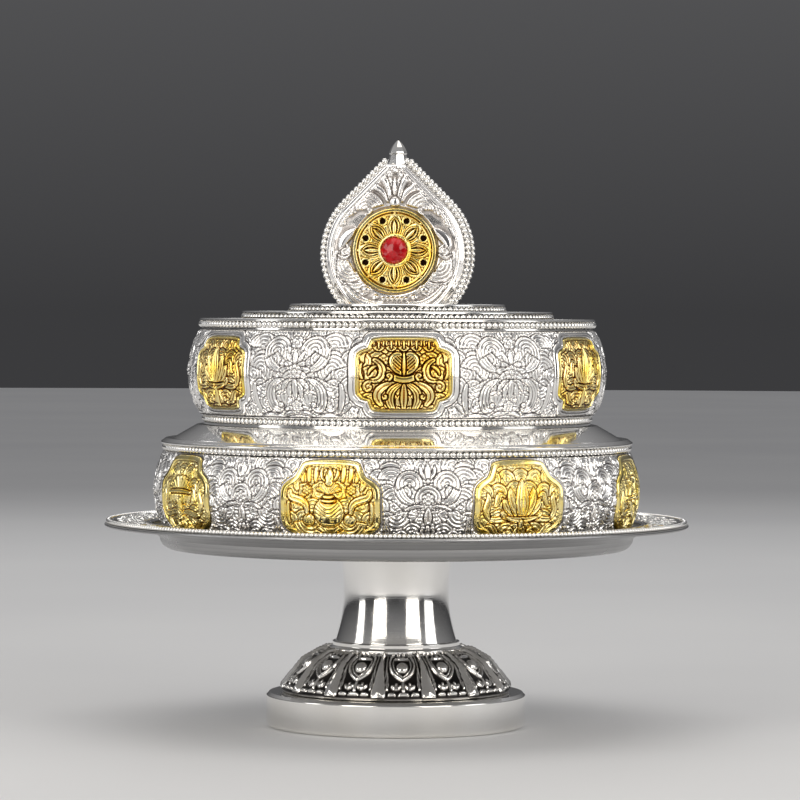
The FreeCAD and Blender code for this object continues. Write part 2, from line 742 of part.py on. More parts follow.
def make_cap(floor):
    """The dished cap that sits in the inner ring, and the lotus ring on it."""
    wall, gap = D.sheet_wall, D.solder_gap
    cap, under, brim = D.cap_radius, floor - wall, floor + D.cap_rim
    hole = D.screw_radius + D.screw_clearance
    keep(revolved(
        "ornament_cap",
        (hole, under + gap), (cap - D.ledge_width + wall, under + gap), (cap, floor),
        (cap + D.cap_flare, brim), (cap + D.cap_flare - wall, brim), (cap - wall, floor + wall),
        (cap - D.ledge_width, floor), (hole, floor),
    ), "ornament_cap")
    ring, ring_inner = D.lotus_ring_radius, D.lotus_ring_radius - D.lotus_ring_width
    ring_top = floor + D.lotus_ring_height
    keep(revolved(
        "ornament_lotus_ring",
        (ring_inner, floor + gap), (ring, floor + gap), (ring + D.edge, floor + D.lotus_ring_height / 2),
        (ring - D.edge, ring_top), (ring_inner + D.edge, ring_top),
    ), "ornament_lotus_ring")


def make_foot_block(floor):
    """The block inside the plaque's foot and the screw that holds it to the cap."""
    wall, gap = D.sheet_wall, D.solder_gap
    under = floor - wall
    block_low = floor + gap + wall + gap

    def block_base(sketch):
        half_width, half_depth = D.block_half_width, D.plaque_half_depth - wall - gap
        outline(sketch, (-half_width, -half_depth), (half_width, -half_depth), (half_width, half_depth),
                (-half_width, half_depth), (-half_width, -half_depth))
        ring_circle(sketch, D.screw_radius + gap)

    block = padded("ornament_foot_block", "XY_Plane", D.block_height, block_base)
    block.setExpression("Placement.Base.z", block_low.text)
    keep(block, "ornament_foot_block")
    head, end = under - D.screw_head_height, block_low + D.screw_reach
    keep(revolved(
        "ornament_screw",
        (0, head), (D.screw_head_radius, head), (D.screw_head_radius, under), (D.screw_radius, under),
        (D.screw_radius, end), (0, end),
    ), "ornament_screw")


def make_finial():
    """A bud on a flared neck, which stands on the plaque's tip."""
    base = tip_height_of(D.plaque_radius) + D.solder_gap
    bud, bud_base, top = D.finial_bud_radius, base + D.finial_bud_rise, base + D.finial_height
    cheek = (bud * 2 / 3, (bud_base + top) / 2)
    keep(revolved(
        "ornament_finial",
        (0, base), (D.finial_base_radius, base), (D.finial_waist_radius, base + D.finial_waist_rise),
        (bud, bud_base), (cheek, (D.finial_tip_radius, top - D.finial_tip_radius)), (0, top),
    ), "ornament_finial")


def make_ornament(floor):
    make_cap(floor)
    foot = floor + D.solder_gap
    for side, sign in (("front", -1), ("back", 1)):
        make_plaque_half(side, sign, foot)
        make_plaque_beads(side, sign, foot)
        make_wheel(side, sign)
    make_foot_block(floor)
    make_finial()
    cut_screw_way()


def cut_screw_way():
    """The shells' floors are notched for the screw that comes up through the cap."""
    for side, sign in (("front", -1), ("back", 1)):
        shell = next(part for part in kept if part.Label == f"ornament_{side}_shell")
        notch = new_sketch(shell, "XY_Plane", f"{side}_notch")
        ring_circle(notch, D.screw_radius + D.screw_clearance)
        pocket = shell.newObject("PartDesign::Pocket", f"{side}_notch_pocket")
        pocket.Profile = notch
        pocket.Reversed = True
        pocket.setExpression("Length", (D.plaque_centre_height - D.plaque_radius / 2).text)
        shell.Tip = pocket


# ---------------------------------------------------------------- build, test and write

def write_out():
    doc.recompute()
    for part in doc.Objects:
        if "Invalid" in part.State or "Error" in part.State:
            raise RuntimeError(f"{part.Label} did not build: {part.State}")
    os.makedirs("parts", exist_ok=True)
    for part in kept:
        shape = part.Shape
        if shape.isNull() or not shape.isValid() or not shape.Solids:
            raise RuntimeError(f"{part.Label} has no valid solid")
        shape.exportStep(os.path.join("parts", part.Label + ".step"))


make_foot()
make_stem()
make_tray()
make_fastening()
ring_floor = make_pan()
cap_floor = make_rings(ring_floor)
make_ornament(cap_floor)
write_out()
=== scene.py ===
import json
import math

import bpy
import numpy as np
from mathutils import Matrix, Vector


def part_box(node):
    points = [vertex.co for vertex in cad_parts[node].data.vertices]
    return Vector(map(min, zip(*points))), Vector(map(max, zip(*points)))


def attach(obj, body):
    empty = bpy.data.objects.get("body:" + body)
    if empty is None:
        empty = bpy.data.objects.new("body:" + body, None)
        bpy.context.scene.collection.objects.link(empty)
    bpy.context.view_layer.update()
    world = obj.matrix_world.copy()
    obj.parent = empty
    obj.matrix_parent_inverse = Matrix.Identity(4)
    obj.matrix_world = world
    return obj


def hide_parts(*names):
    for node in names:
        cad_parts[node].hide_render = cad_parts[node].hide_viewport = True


# The looks of a mandala offering set: turned skins, beaded wires, chased relief and gilt panels, worked out
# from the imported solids.  Artwork is drawn in millimetres and becomes metres where a mesh is made.

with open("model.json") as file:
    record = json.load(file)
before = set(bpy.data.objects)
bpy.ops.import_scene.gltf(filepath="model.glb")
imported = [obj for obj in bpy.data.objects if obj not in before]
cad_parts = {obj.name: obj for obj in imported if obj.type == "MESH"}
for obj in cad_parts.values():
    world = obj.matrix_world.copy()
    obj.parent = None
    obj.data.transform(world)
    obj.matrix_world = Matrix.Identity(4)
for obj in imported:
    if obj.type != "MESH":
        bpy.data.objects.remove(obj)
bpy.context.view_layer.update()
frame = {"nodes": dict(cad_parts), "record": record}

MM = 0.001
TOUCH = 1e-3               # points nearer than this are at one place
RECORD = frame["record"]
BODY = {node: body for body, nodes in RECORD["behaviour"]["bodies"].items() for node in nodes}
SLOT = {part["node"]: part["material_slot"] for part in RECORD["subparts"]}
PANEL_COUNT = {"pan": 8, "outer_ring": 6, "middle_ring": 5, "inner_ring": 4}
RINGS = ("outer_ring", "middle_ring", "inner_ring")
SIDES = {"front": -1, "back": 1}       # which way each side of the ornament faces along Y
TURNS = 240                # facets round a turned piece
BROAD_TURNS = 360          # facets round the broad satin pieces
SOLDER_GAP = 0.05          # between a gilt piece and the silver under it


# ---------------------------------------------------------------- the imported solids, in millimetres

def vertices(node):
    """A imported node's vertices, one row each."""
    mesh = frame["nodes"][node].data
    flat = np.zeros(len(mesh.vertices) * 3)
    mesh.vertices.foreach_get("co", flat)
    return flat.reshape(-1, 3) / MM


def corners_of(node):
    low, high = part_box(node)
    return np.array(low) / MM, np.array(high) / MM


def section(node):
    """The outline of a turned node in the +X half-plane, as ordered (radius, height) points.

    The second value says whether the outline closes; that of a solid disc doesn't.
    """
    mesh = frame["nodes"][node].data
    keys = [tuple(np.round(p[[0, 2]], 3)) if abs(p[1]) < TOUCH and p[0] > -TOUCH else None
            for p in vertices(node)]
    links = {key: set() for key in keys if key}
    for edge in mesh.edges:
        a, b = keys[edge.vertices[0]], keys[edge.vertices[1]]
        if a and b and a != b:
            links[a].add(b)
            links[b].add(a)
    # A flat ring has no edge in this plane, so loose ends at one height are joined.
    ends = sorted((key for key in links if len(links[key]) < 2), key=lambda key: (key[1], key[0]))
    while ends:
        end = ends.pop(0)
        partner = next((other for other in ends if abs(other[1] - end[1]) < 2 * TOUCH), None)
        if partner:
            ends.remove(partner)
            links[end].add(partner)
            links[partner].add(end)
    loose = [key for key in links if len(links[key]) == 1]
    outline = [min(loose or links, key=lambda key: (key[1], key[0]))]
    while True:
        onward = [key for key in links[outline[-1]] if key not in outline]
        if not onward:
            return np.array(outline), not loose
        outline.append(min(onward))


HUB = 0.3                  # radius of the flat spot at the middle of a solid disc
CORNER_SHARE = 0.3         # the most of a side that the rounding of its corner takes
LEAD = 0.6                 # a rounded corner's flanking point, as a share of its size


def softened(outline, closed, fillet=0.2, sharp=22):
    """An outline with its arcs refined and its corners, sharper than so many degrees, rounded off."""
    if not closed:      # a solid disc: the outline runs from the axis to the axis
        outline = np.vstack([(HUB, outline[0][1]), outline, (HUB, outline[-1][1])])
    count = len(outline)
    way_in, way_out = outline - np.roll(outline, 1, 0), np.roll(outline, -1, 0) - outline
    length_in, length_out = np.hypot(*way_in.T), np.hypot(*way_out.T)
    unit_in, unit_out = way_in / length_in[:, None], way_out / length_out[:, None]
    turn = np.degrees(np.arccos(np.clip((unit_in * unit_out).sum(1), -1, 1)))
    is_corner = turn > sharp
    if not closed:
        is_corner[[0, -1]] = False
    tangent = unit_in + unit_out
    tangent /= np.maximum(np.hypot(*tangent.T), 1e-9)[:, None]
    result = []
    for index in range(count):
        here = outline[index]
        if is_corner[index]:
            size = min(fillet, CORNER_SHARE * length_in[index], CORNER_SHARE * length_out[index])
            start, end = here - unit_in[index] * size, here + unit_out[index] * size
            result.append(start - unit_in[index] * size * LEAD)
            for t in (0, 0.25, 0.5, 0.75, 1):
                result.append(start * (1 - t) ** 2 + here * 2 * t * (1 - t) + end * t ** 2)
            result.append(end + unit_out[index] * size * LEAD)
        else:
            result.append(here)
        if not closed and index == count - 1:
            break
        following = (index + 1) % count
        if not is_corner[index] and not is_corner[following] and turn[index] + turn[following] > 1:
            ahead, reach = outline[following], length_out[index]
            for t in (0.25, 0.5, 0.75):     # a cubic between two points of one arc
                blend = 3 * t ** 2 - 2 * t ** 3
                result.append(here * (1 - blend) + ahead * blend
                              + tangent[index] * reach * (t ** 3 - 2 * t ** 2 + t)
                              + tangent[following] * reach * (t ** 3 - t ** 2))
    return np.array(result)


class Bulge:
    """The outer face of a swelling wall: an arc through its foot, its widest point and its neck."""

    def __init__(self, node):
        points = vertices(node)
        radii = np.hypot(points[:, 0], points[:, 1])
        self.low, self.high = points[:, 2].min(), points[:, 2].max()
        foot = radii[points[:, 2] < self.low + TOUCH].max()
        neck = radii[points[:, 2] > self.high - TOUCH].max()
        widest = radii.argmax()
        a, b, c = (foot, self.low), (radii[widest], points[widest, 2]), (neck, self.high)
        rows = [[2 * (q[0] - p[0]), 2 * (q[1] - p[1])] for p, q in ((a, b), (b, c))]
        sides = [q[0] ** 2 + q[1] ** 2 - p[0] ** 2 - p[1] ** 2 for p, q in ((a, b), (b, c))]
        self.centre = np.linalg.solve(rows, sides)
        self.arc = math.hypot(foot - self.centre[0], self.low - self.centre[1])
        self.middle = (self.low + self.high) / 2
        self.girth = radii[widest]

    def radius(self, height):
        return self.centre[0] + np.sqrt(self.arc ** 2 - (height - self.centre[1]) ** 2)


# ---------------------------------------------------------------- meshes

def mesh_object(name, points, faces):
    """An object whose mesh has points given in millimetres."""
    mesh = bpy.data.meshes.new(name)
    mesh.from_pydata((np.array(points) * MM).tolist(), [], faces)
    return bpy.data.objects.new(name, mesh)


def shell(name, rings, wrap=False, relief=None, flat_caps=True):
    """A closed skin on a stack of equal rings of points.

    wrap joins the last ring to the first; without it, two caps close the skin.
    """
    stack, size = rings.shape[:2]
    index = np.arange(stack * size).reshape(stack, size)
    upper = np.roll(index, -1, 0) if wrap else index[1:]
    lower = index if wrap else index[:-1]
    quads = np.stack([lower, upper, np.roll(upper, -1, 1), np.roll(lower, -1, 1)], -1).reshape(-1, 4)
    points = rings.reshape(-1, 3)
    a, b, c, d = (points[quads[:, k]] for k in range(4))
    caps = [] if wrap else [index[0][::-1], index[-1]]
    if (np.cross(a, b) * c).sum() + (np.cross(a, c) * d).sum() < 0:      # the skin faces inwards
        quads = quads[:, ::-1]
    else:
        caps = [cap[::-1] for cap in caps]
    piece = mesh_object(name, points, quads.tolist() + [cap.tolist() for cap in caps])
    mesh = piece.data
    mesh.polygons.foreach_set("use_smooth", [True] * len(quads) + [not flat_caps] * len(caps))
    if not wrap and flat_caps:
        ends = np.zeros(len(mesh.edges) * 2, dtype=int)
        mesh.edges.foreach_get("vertices", ends)
        ring_of = ends.reshape(-1, 2) // size
        rims = (ring_of[:, 0] == ring_of[:, 1]) & np.isin(ring_of[:, 0], (0, stack - 1))
        mesh.attributes.new("sharp_edge", "BOOLEAN", "EDGE").data.foreach_set("value", rims)
    # the relief attribute carries painted shade for the materials: low in grooves, 1 where no shade is
    # painted
    values = np.ones(len(points)) if relief is None else relief.reshape(-1)
    mesh.attributes.new("relief", "FLOAT", "POINT").data.foreach_set("value", values.astype(np.float32))
    mesh.update()
    return piece


def full_turn(count):
    return np.arange(count) * 2 * math.pi / count


def about_axis(radius, angle, height):
    """Points at a radius, an angle from the front and a height."""
    return np.stack(np.broadcast_arrays(radius * np.sin(angle), -radius * np.cos(angle), height), -1)


def show(piece, material, node):
    """Puts a piece into the scene, on the body of the node that it stands for."""
    bpy.context.scene.collection.objects.link(piece)
    if not piece.data.materials:
        piece.data.materials.append(material)
    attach(piece, BODY[node])
    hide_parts(node)


def turned_piece(node, material, fillet=0.2, turns=TURNS):
    """A turned node again, with rounded edges and a smooth skin."""
    outline, closed = section(node)
    outline = softened(outline, closed, fillet)
    rings = about_axis(outline[:, :1], full_turn(turns), outline[:, 1:])
    show(shell(f"{node}_turned", rings, wrap=closed, flat_caps=False), material, node)


def repeated(piece, name, numbers, count, clock, material, node):
    """Copies of one mesh at some of count places round the axis.

    clock is the angle of the first place from the front.
    """
    for number in numbers:
        copy = bpy.data.objects.new(f"{name}_{number + 1}", piece.data)
        copy.rotation_euler.z = clock + number * 2 * math.pi / count
        show(copy, material, node)
    bpy.data.objects.remove(piece)


def run_lengths(run):
    """The distance along a run of straight pieces to each of its points."""
    return np.concatenate([[0], np.cumsum(np.hypot(*np.diff(run, axis=0).T))])


def along_run(run, distance):
    """The points at some distances along a run."""
    length = run_lengths(run)
    return np.stack([np.interp(distance, length, run[:, k]) for k in (0, 1)], -1)


def evenly(run, spacing=None, count=None, closed=False):
    """Points spread evenly along a run, and the direction of the run at each."""
    run = np.vstack([run, run[:1]]) if closed else run
    total = run_lengths(run)[-1]
    at = np.linspace(0, total, count or round(total / spacing) + 1, endpoint=not closed)
    probe = 0.3
    way = along_run(run, np.minimum(at + probe, total)) - along_run(run, np.maximum(at - probe, 0))
    return along_run(run, at), way / np.maximum(np.hypot(*way.T), 1e-9)[:, None]


# ---------------------------------------------------------------- beaded wires

BEAD_SEGMENTS = 12
BEAD_ROWS = 8


def bead_template(radius):
    """One bead as points and faces, with its poles on X."""
    points = [(-radius, 0, 0)]
    for row in range(1, BEAD_ROWS):
        angle = math.pi * row / BEAD_ROWS
        for k in range(BEAD_SEGMENTS):
            turn = 2 * math.pi * k / BEAD_SEGMENTS
            points.append((-radius * math.cos(angle), radius * math.sin(angle) * math.cos(turn),
                           radius * math.sin(angle) * math.sin(turn)))
    points.append((radius, 0, 0))
    last = len(points) - 1
    faces = []
    for k in range(BEAD_SEGMENTS):
        beside = (k + 1) % BEAD_SEGMENTS
        faces.append((0, 1 + k, 1 + beside))
        faces.append((last, last - BEAD_SEGMENTS + beside, last - BEAD_SEGMENTS + k))
        for row in range(BEAD_ROWS - 2):
            a, b = 1 + row * BEAD_SEGMENTS + k, 1 + row * BEAD_SEGMENTS + beside
            faces.append((a, a + BEAD_SEGMENTS, b + BEAD_SEGMENTS, b))
    return np.array(points), faces


def beaded(node, places, tangents, radius):
    """Beads strung close together along a run of places, as one piece."""
    points, faces = bead_template(radius)
    all_points, all_faces = [], []
    for place, tangent in zip(places, tangents):
        side = np.cross(tangent, (0, 0, 1.0) if abs(tangent[2]) < 0.9 else (0, 1.0, 0))
        side /= np.linalg.norm(side)
        base = len(all_points) * len(points)
        all_points.append(points @ np.array([tangent, side, np.cross(tangent, side)]) + place)
        all_faces += [tuple(base + i for i in face) for face in faces]
    piece = mesh_object(f"{node}_strung", np.vstack(all_points), all_faces)
    piece.data.polygons.foreach_set("use_smooth", [True] * len(all_faces))
    show(piece, SILVER, node)


def bead_hoop(node):
    """A hoop of beads in place of a round wire."""
    low, high = corners_of(node)
    bead = (high[2] - low[2]) / 2
    radius = high[0] - bead
    angles = full_turn(round(math.pi * radius / bead))
    tangents = np.stack([np.cos(angles), np.sin(angles), 0 * angles], -1)
    beaded(node, about_axis(radius, angles, (low[2] + high[2]) / 2), tangents, bead)


# ---------------------------------------------------------------- drawing in relief

RIDGE_PITCH = 1.25         # spacing of the ridges within a motif, in millimetres
WALL_DEPTH = 1.35          # how much deeper the walls are chased than the artwork is drawn


def eased(low, high, value):
    t = np.clip((value - low) / (high - low), 0, 1)
    return t * t * (3 - 2 * t)


def stripes(phase):
    """Round ridges with grooves between them: crests where phase is whole."""
    return np.abs(np.cos(np.pi * phase)) ** 0.7


def curve(points, samples=44):
    """A Bezier curve through any number of control points."""
    t = np.linspace(0, 1, samples)[:, None]
    rows = [np.array(p, float) for p in points]
    while len(rows) > 1:
        rows = [a * (1 - t) + b * t for a, b in zip(rows, rows[1:])]
    return rows[0]


def inside_distance(polygon, x, y):
    """How far each point is inside a closed outline; it is negative outside."""
    nearest = np.full(x.shape, 1e9)
    inside = np.zeros(x.shape, bool)
    for (ax, ay), (bx, by) in zip(polygon, np.roll(polygon, -1, 0)):
        dx, dy = bx - ax, by - ay
        t = np.clip(((x - ax) * dx + (y - ay) * dy) / max(dx * dx + dy * dy, 1e-12), 0, 1)
        nearest = np.minimum(nearest, np.hypot(x - ax - t * dx, y - ay - t * dy))
        if dy:
            inside ^= ((ay > y) != (by > y)) & (x < dx * (y - ay) / dy + ax)
    return np.where(inside, nearest, -nearest)


def dome(share, top=1.0):
    """A round crown over a share of the way from a motif's middle to its edge."""
    return np.sqrt(np.clip(top - share ** 2, 0, 1))


def ridged(phase):
    """The height left between grooves, which stop short of the ground."""
    return 0.25 + 0.75 * stripes(phase)


def wedge(bearing, reach, facing, spread):
    """The angle from the one faced, in degrees, and the distance in from the nearer side of the wedge."""
    off = (bearing - facing + 180) % 360 - 180
    return off, np.radians(np.clip(spread / 2 - np.abs(off), -60, 60)) * np.maximum(reach, 0.4)


class Relief:
    """Heights over points (x, y) of a surface, in millimetres; motifs are laid one over another."""

    def __init__(self, x, y, mirrored=True, weight=1.0, groove=0.3):
        self.weight = weight     # how much broader leaves are than they are drawn
        self.groove = groove     # width of the chased line round a motif
        self.x = np.abs(x) if mirrored else x
        self.y = y
        self.height = np.zeros_like(x)

    def near(self, points, reach):
        xs, ys = zip(*points)
        return ((self.x > min(xs) - reach) & (self.x < max(xs) + reach)
                & (self.y > min(ys) - reach) & (self.y < max(ys) + reach))

    def polar(self, centre, radius, flatten=1.0):
        """The points near a centre, with their distances and their bearings in degrees."""
        where = self.near([centre], radius + 1)
        dx, dy = self.x[where] - centre[0], (self.y[where] - centre[1]) / flatten
        return where, np.hypot(dx, dy), np.degrees(np.arctan2(dy, dx))

    def lay(self, where, inside, height):
        """Lays a motif inside a groove; inside is the distance in from its edge."""
        under = self.height[where] * eased(0, self.groove, -inside)
        self.height[where] = np.where(inside > 0, height * eased(0, self.groove, inside), under)

    def leaf(self, points, widths, rise=0.6, smooth=False, keeled=False):
        """A tapering stroke along a curve: ridged along it, or smooth, or with one keel between two flats."""
        stroke = curve([(*p, w * self.weight) for p, w in zip(points, widths)])
        broadest = stroke[:, 2].max()
        ridges = max(1, round(2 * broadest / RIDGE_PITCH))
        where = self.near(points, broadest + 1)
        x, y = self.x[where], self.y[where]
        inside, share = np.full(x.shape, -1e9), np.zeros(x.shape)
        for px, py, half in stroke:
            reach = np.hypot(x - px, y - py)
            better = half - reach > inside
            inside = np.where(better, half - reach, inside)
            share = np.where(better, reach / max(half, 1e-3), share)
        crown = np.clip(1 - share, 0, 1) ** 1.3 if keeled else dome(share)
        lines = 1.0 if smooth or keeled else ridged(share * ridges / 2 + 0.5 * (ridges % 2 == 0))
        self.lay(where, inside, rise * (0.4 + 0.6 * crown) * lines)

    def rod(self, points, widths, rise):
        self.leaf(points, widths, rise, smooth=True)

    def volute(self, centre, radius, rise=0.6, start=0.0, hand=1):
        """A spiral of round ridges whose outer end is at the angle start, in degrees."""
        where, reach, bearing = self.polar(centre, radius)
        turn = ((bearing - start) * hand / 360) % 1
        lines = ridged((radius - reach) / RIDGE_PITCH + turn + 0.5)
        self.lay(where, radius - RIDGE_PITCH * (1 - turn) - reach,
                 rise * (0.45 + 0.55 * dome(reach / radius, 1.15)) * lines)

    def arches(self, centre, radius, facing, spread=180.0, rise=0.55):
        """Nested arches round a centre, within half of spread of the angle that they face."""
        where, reach, bearing = self.polar(centre, radius)
        _, side = wedge(bearing, reach, facing, spread)
        inside = np.minimum(radius - reach, side)
        self.lay(where, inside, rise * ridged((radius - reach) / RIDGE_PITCH + 0.5))

    def rays(self, centre, radius, count, facing, spread=120.0, rise=0.55):
        """A fan of ribs that spread from a centre, with a scalloped end."""
        where, reach, bearing = self.polar(centre, radius)
        off, side = wedge(bearing, reach, facing, spread)
        phase = off * count / spread + 0.5 * (count % 2 == 0)
        inside = np.minimum(radius * (0.88 + 0.12 * stripes(phase)) - reach, side)
        self.lay(where, inside, rise * (0.35 + 0.65 * reach / radius) * ridged(phase))

    def flower(self, centre, radius, petals, rise=0.65, eye=0.3, clock=90.0):
        """Round petals about a domed eye."""
        where, reach, bearing = self.polar(centre, radius)
        lobes = stripes((bearing - clock) * petals / 360)
        swell = np.sin(np.pi * np.clip(reach / radius, 0, 1) ** 1.2 * 0.85) ** 0.5
        petal = rise * (0.45 + 0.55 * lobes) * swell
        middle = rise * 1.25 * dome(reach / (radius * eye))
        self.lay(where, radius * (0.72 + 0.28 * lobes) - reach,
                 np.where(reach < radius * eye, middle, petal))

    def bead(self, centre, radius, rise=0.6, flatten=1.0):
        where, reach, _ = self.polar(centre, radius, flatten)
        self.lay(where, radius - reach, rise * dome(reach / radius, 1.1))

    def clouds(self, width, height, spacing, rise=0.55):
        """A ground of volutes in offset rows, each half over the last, wound by turns left and right."""
        step = spacing * 0.8
        highest = math.ceil(height / step)
        for row in range(highest, -highest - 1, -1):
            for column in range(math.ceil(width / spacing) + 1):
                place = ((column + 0.5 * (row % 2)) * spacing, row * step)
                self.volute(place, spacing * 0.72, rise, start=140 * row + 75 * column,
                            hand=1 if (row + column) % 2 else -1)

    def band(self, inside, width, rise, ease=0.4):
        """A flat-topped band along an outline, from its edge inwards; what is under it is cleared away."""
        profile = eased(0, ease, inside) * eased(0, ease, width - inside)
        beside = eased(0, 0.5, np.maximum(inside - width, -inside))
        self.height = np.where((inside > 0) & (inside < width), rise * profile, self.height * beside)

    def cavity(self, reach):
        """How much each point of a grid stands out from the points around it: 0 in a groove, 1 on a crest;
        the materials paint shade in the grooves and on the low ground from it.
        """
        level = self.height
        span = 2 * reach + 1
        for axis in (0, 1):
            count = level.shape[axis]
            before, after = level.take([0] * reach, axis), level.take([-1] * reach, axis)
            total = np.cumsum(np.concatenate([before, level, after], axis), axis)
            total = np.concatenate([np.zeros_like(total.take([0], axis)), total], axis)
            level = (total.take(range(span, span + count), axis) - total.take(range(count), axis)) / span
        return np.clip(0.62 + (self.height - level) / 0.5, 0, 1) * eased(-0.05, 0.22, self.height)


# ---------------------------------------------------------------- artwork of the silver walls

def ring_scrollwork(art):
    """The chased clouds between two panels of a ring; x is the distance from the middle of the gap."""
    art.clouds(34, 15, 5.6)
    art.leaf([(3, -13.6), (9, -12.2), (15, -13.8), (19, -10)], (0.7, 1.5, 1.3, 0.6))
    art.leaf([(6, -14.5), (12, -12.6), (17, -15)], (0.5, 1.0, 0.5))
    # nested cloud heads, one under another, towards the panel
    art.arches((13.6, 8.6), 5.0, facing=115, spread=230)
    art.arches((13.4, 1.2), 5.2, facing=120, spread=210)
    art.arches((12.6, -3.2), 4.9, facing=-112, spread=190)
    art.volute((11.9, -9.6), 3.3, start=20, hand=1)
    art.leaf([(16.2, -3.4), (17.4, -7.5), (15.2, -12.4)], (0.5, 1.3, 0.5))
    # the tall cloud head beside the middle, with a tail that sweeps in to the flower
    art.leaf([(11.2, 8.8), (11.4, 4.6), (9.0, 2.2), (5.0, 1.2)], (1.0, 1.8, 1.5, 0.4))
    art.arches((7.0, 7.4), 5.2, facing=98, spread=250, rise=0.7)
    # sprig over the flower
    art.leaf([(2.2, 11.6), (3.4, 13.0), (3.0, 14.6)], (0.3, 0.8, 0.3))
    art.leaf([(0.5, 4.0), (2.4, 4.8), (3.2, 7.4)], (0.4, 1.2, 0.3))
    art.leaf([(0, 3.4), (0, 5.6), (0, 7.8)], (0.5, 1.1, 0.4))
    art.flower((0, 10.4), 2.3, 4, eye=0.4, clock=45.0)
    for angle, length in ((38, 4.4), (4, 5.2), (-24, 4.6)):
        turn = math.radians(angle)
        tip = (length * math.cos(turn), 0.9 + length * math.sin(turn))
        art.leaf([(0.8, 0.9), (tip[0] * 0.55, tip[1] * 0.75 + 0.2), tip], (0.6, 1.7, 0.5))
    art.flower((0, 0.7), 2.7, 8, eye=0.42, rise=0.8)
    # below it: long C-scrolls round ribbed fans, a palmette that hangs between them, and a small flower
    art.rays((4.9, -10.8), 4.6, 6, facing=96, spread=150)
    art.leaf([(4.4, -1.8), (10.6, -2.2), (12.0, -9.6), (7.6, -13.8), (5.8, -10.2)], (0.4, 1.5, 1.8, 1.4, 0.6),
             rise=0.8)
    art.bead((6.3, -10.1), 1.0, rise=0.8)
    art.leaf([(0.2, -12.8), (3.4, -12.4), (5.8, -13.8)], (0.4, 1.0, 0.4))
    art.leaf([(0.4, -2.4), (3.6, -1.8), (4.8, -5.4)], (0.5, 1.4, 0.3), rise=0.7)
    art.leaf([(0.3, -2.6), (2.6, -4.0), (2.2, -7.6)], (0.5, 1.3, 0.3), rise=0.75)
    art.leaf([(0, -2.2), (0, -4.8), (0, -8.0)], (0.6, 1.4, 0.3), rise=0.8)
    art.flower((0, -10.6), 2.2, 6, eye=0.36)


def pan_scrollwork(art):
    """The chased clouds between two panels of the pan; the gap is narrower than on a ring."""
    art.clouds(32, 17, 5.4)
    art.leaf([(4.2, -14.6), (8.6, -11.6), (13.4, -13.6)], (0.6, 1.7, 0.6))
    # nested cloud heads towards the panel
    art.arches((12.0, 8.6), 4.6, facing=118, spread=230)
    art.leaf([(9.4, 13.0), (12.4, 14.8), (15.4, 12.8)], (0.4, 1.1, 0.4))
    art.arches((11.0, 1.6), 4.8, facing=122, spread=200)
    art.arches((10.2, -2.2), 4.8, facing=-110, spread=190)
    art.volute((8.8, -9.6), 3.2, start=35, hand=1)
    art.leaf([(13.2, -3.6), (14.6, -8.2), (11.8, -13.0)], (0.4, 1.3, 0.5))
    art.leaf([(9.6, 8.0), (9.8, 4.2), (7.4, 1.4), (4.2, 1.2)], (0.9, 1.6, 1.3, 0.4))
    art.arches((6.1, 7.4), 4.5, facing=98, spread=250, rise=0.7)
    # small lily at the top
    art.leaf([(0.3, 9.0), (2.6, 10.6), (2.3, 13.2)], (0.4, 0.9, 0.4))
    art.leaf([(0, 9.2), (0, 11.6), (0, 14.2)], (0.5, 1.4, 0.3))
    art.bead((0, 8.4), 0.8)
    # a flower under a cloud head, a drop between two combs, and a fan of leaves
    art.arches((0, 2.8), 4.3, facing=90, spread=230, rise=0.72)
    art.flower((0, 2.6), 2.2, 6, rise=0.85, eye=0.4)
    art.rays((3.0, -2.6), 3.6, 5, facing=12, spread=120, rise=0.7)
    art.leaf([(1.8, 0.2), (4.8, 0.6), (7.4, -1.0)], (0.4, 0.9, 0.4), rise=0.7)
    art.leaf([(0, -4.8), (0, -2.8), (0, -0.4)], (1.1, 1.5, 0.3), rise=0.8)
    for angle in (8, 40, 72):
        turn = math.radians(angle)
        tip = (5.6 * math.cos(turn), -12.0 + 5.6 * math.sin(turn))
        art.leaf([(0.4, -12.2), ((tip[0] + 0.3) * 0.6, tip[1] - 0.9), tip], (0.5, 1.5, 0.4))
    art.leaf([(0, -12.0), (0, -9.2), (0, -6.2)], (0.5, 1.5, 0.3))
    art.flower((0, -12.4), 2.1, 6, eye=0.4)


# ---------------------------------------------------------------- swelling walls

def cartouche(name, half_width, half_height):
    """The outline of a gilt panel, anticlockwise from its right side, with its corners eased."""
    if name == "pan":
        quarter = [(1.0, 0), (1.0, 0.30), (0.97, 0.42), (0.87, 0.53), (0.71, 0.63), (0.655, 0.74),
                   (0.545, 1.0)]
    else:
        quarter = [(1.0, 0), (1.0, 0.42), (0.98, 0.55), (0.90, 0.64), (0.74, 0.70), (0.72, 0.80),
                   (0.65, 1.0)]
    right_top = [(half_width * x, half_height * y) for x, y in quarter]
    left_top = [(-x, y) for x, y in reversed(right_top)]
    lower = [(x, -y) for x, y in reversed((right_top + left_top)[1:-1])]
    points = np.array(right_top + left_top + lower)
    for _ in range(2):       # corner cutting
        ahead = np.roll(points, -1, 0)
        points = np.stack([points * 0.8 + ahead * 0.2, points * 0.2 + ahead * 0.8], 1).reshape(-1, 2)
    return points


def panel_place(name):
    """The clock angle of a set of panels, and their half width and half height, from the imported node."""
    points = vertices(f"{name}_gilt_panels")
    count = PANEL_COUNT[name]
    angles = np.arctan2(points[:, 0], -points[:, 1])
    clock = np.angle(np.exp(1j * count * angles).mean()) / count
    off = (angles - clock + math.pi / count) % (2 * math.pi / count) - math.pi / count
    half_width = (np.hypot(points[:, 0], points[:, 1]) * np.sin(off)).max()
    return clock, half_width, (points[:, 2].max() - points[:, 2].min()) / 2


WALL_SHEET = 0.9           # how far a wall's plain inside is from its bulge
WALL_BACK_ROWS = 12


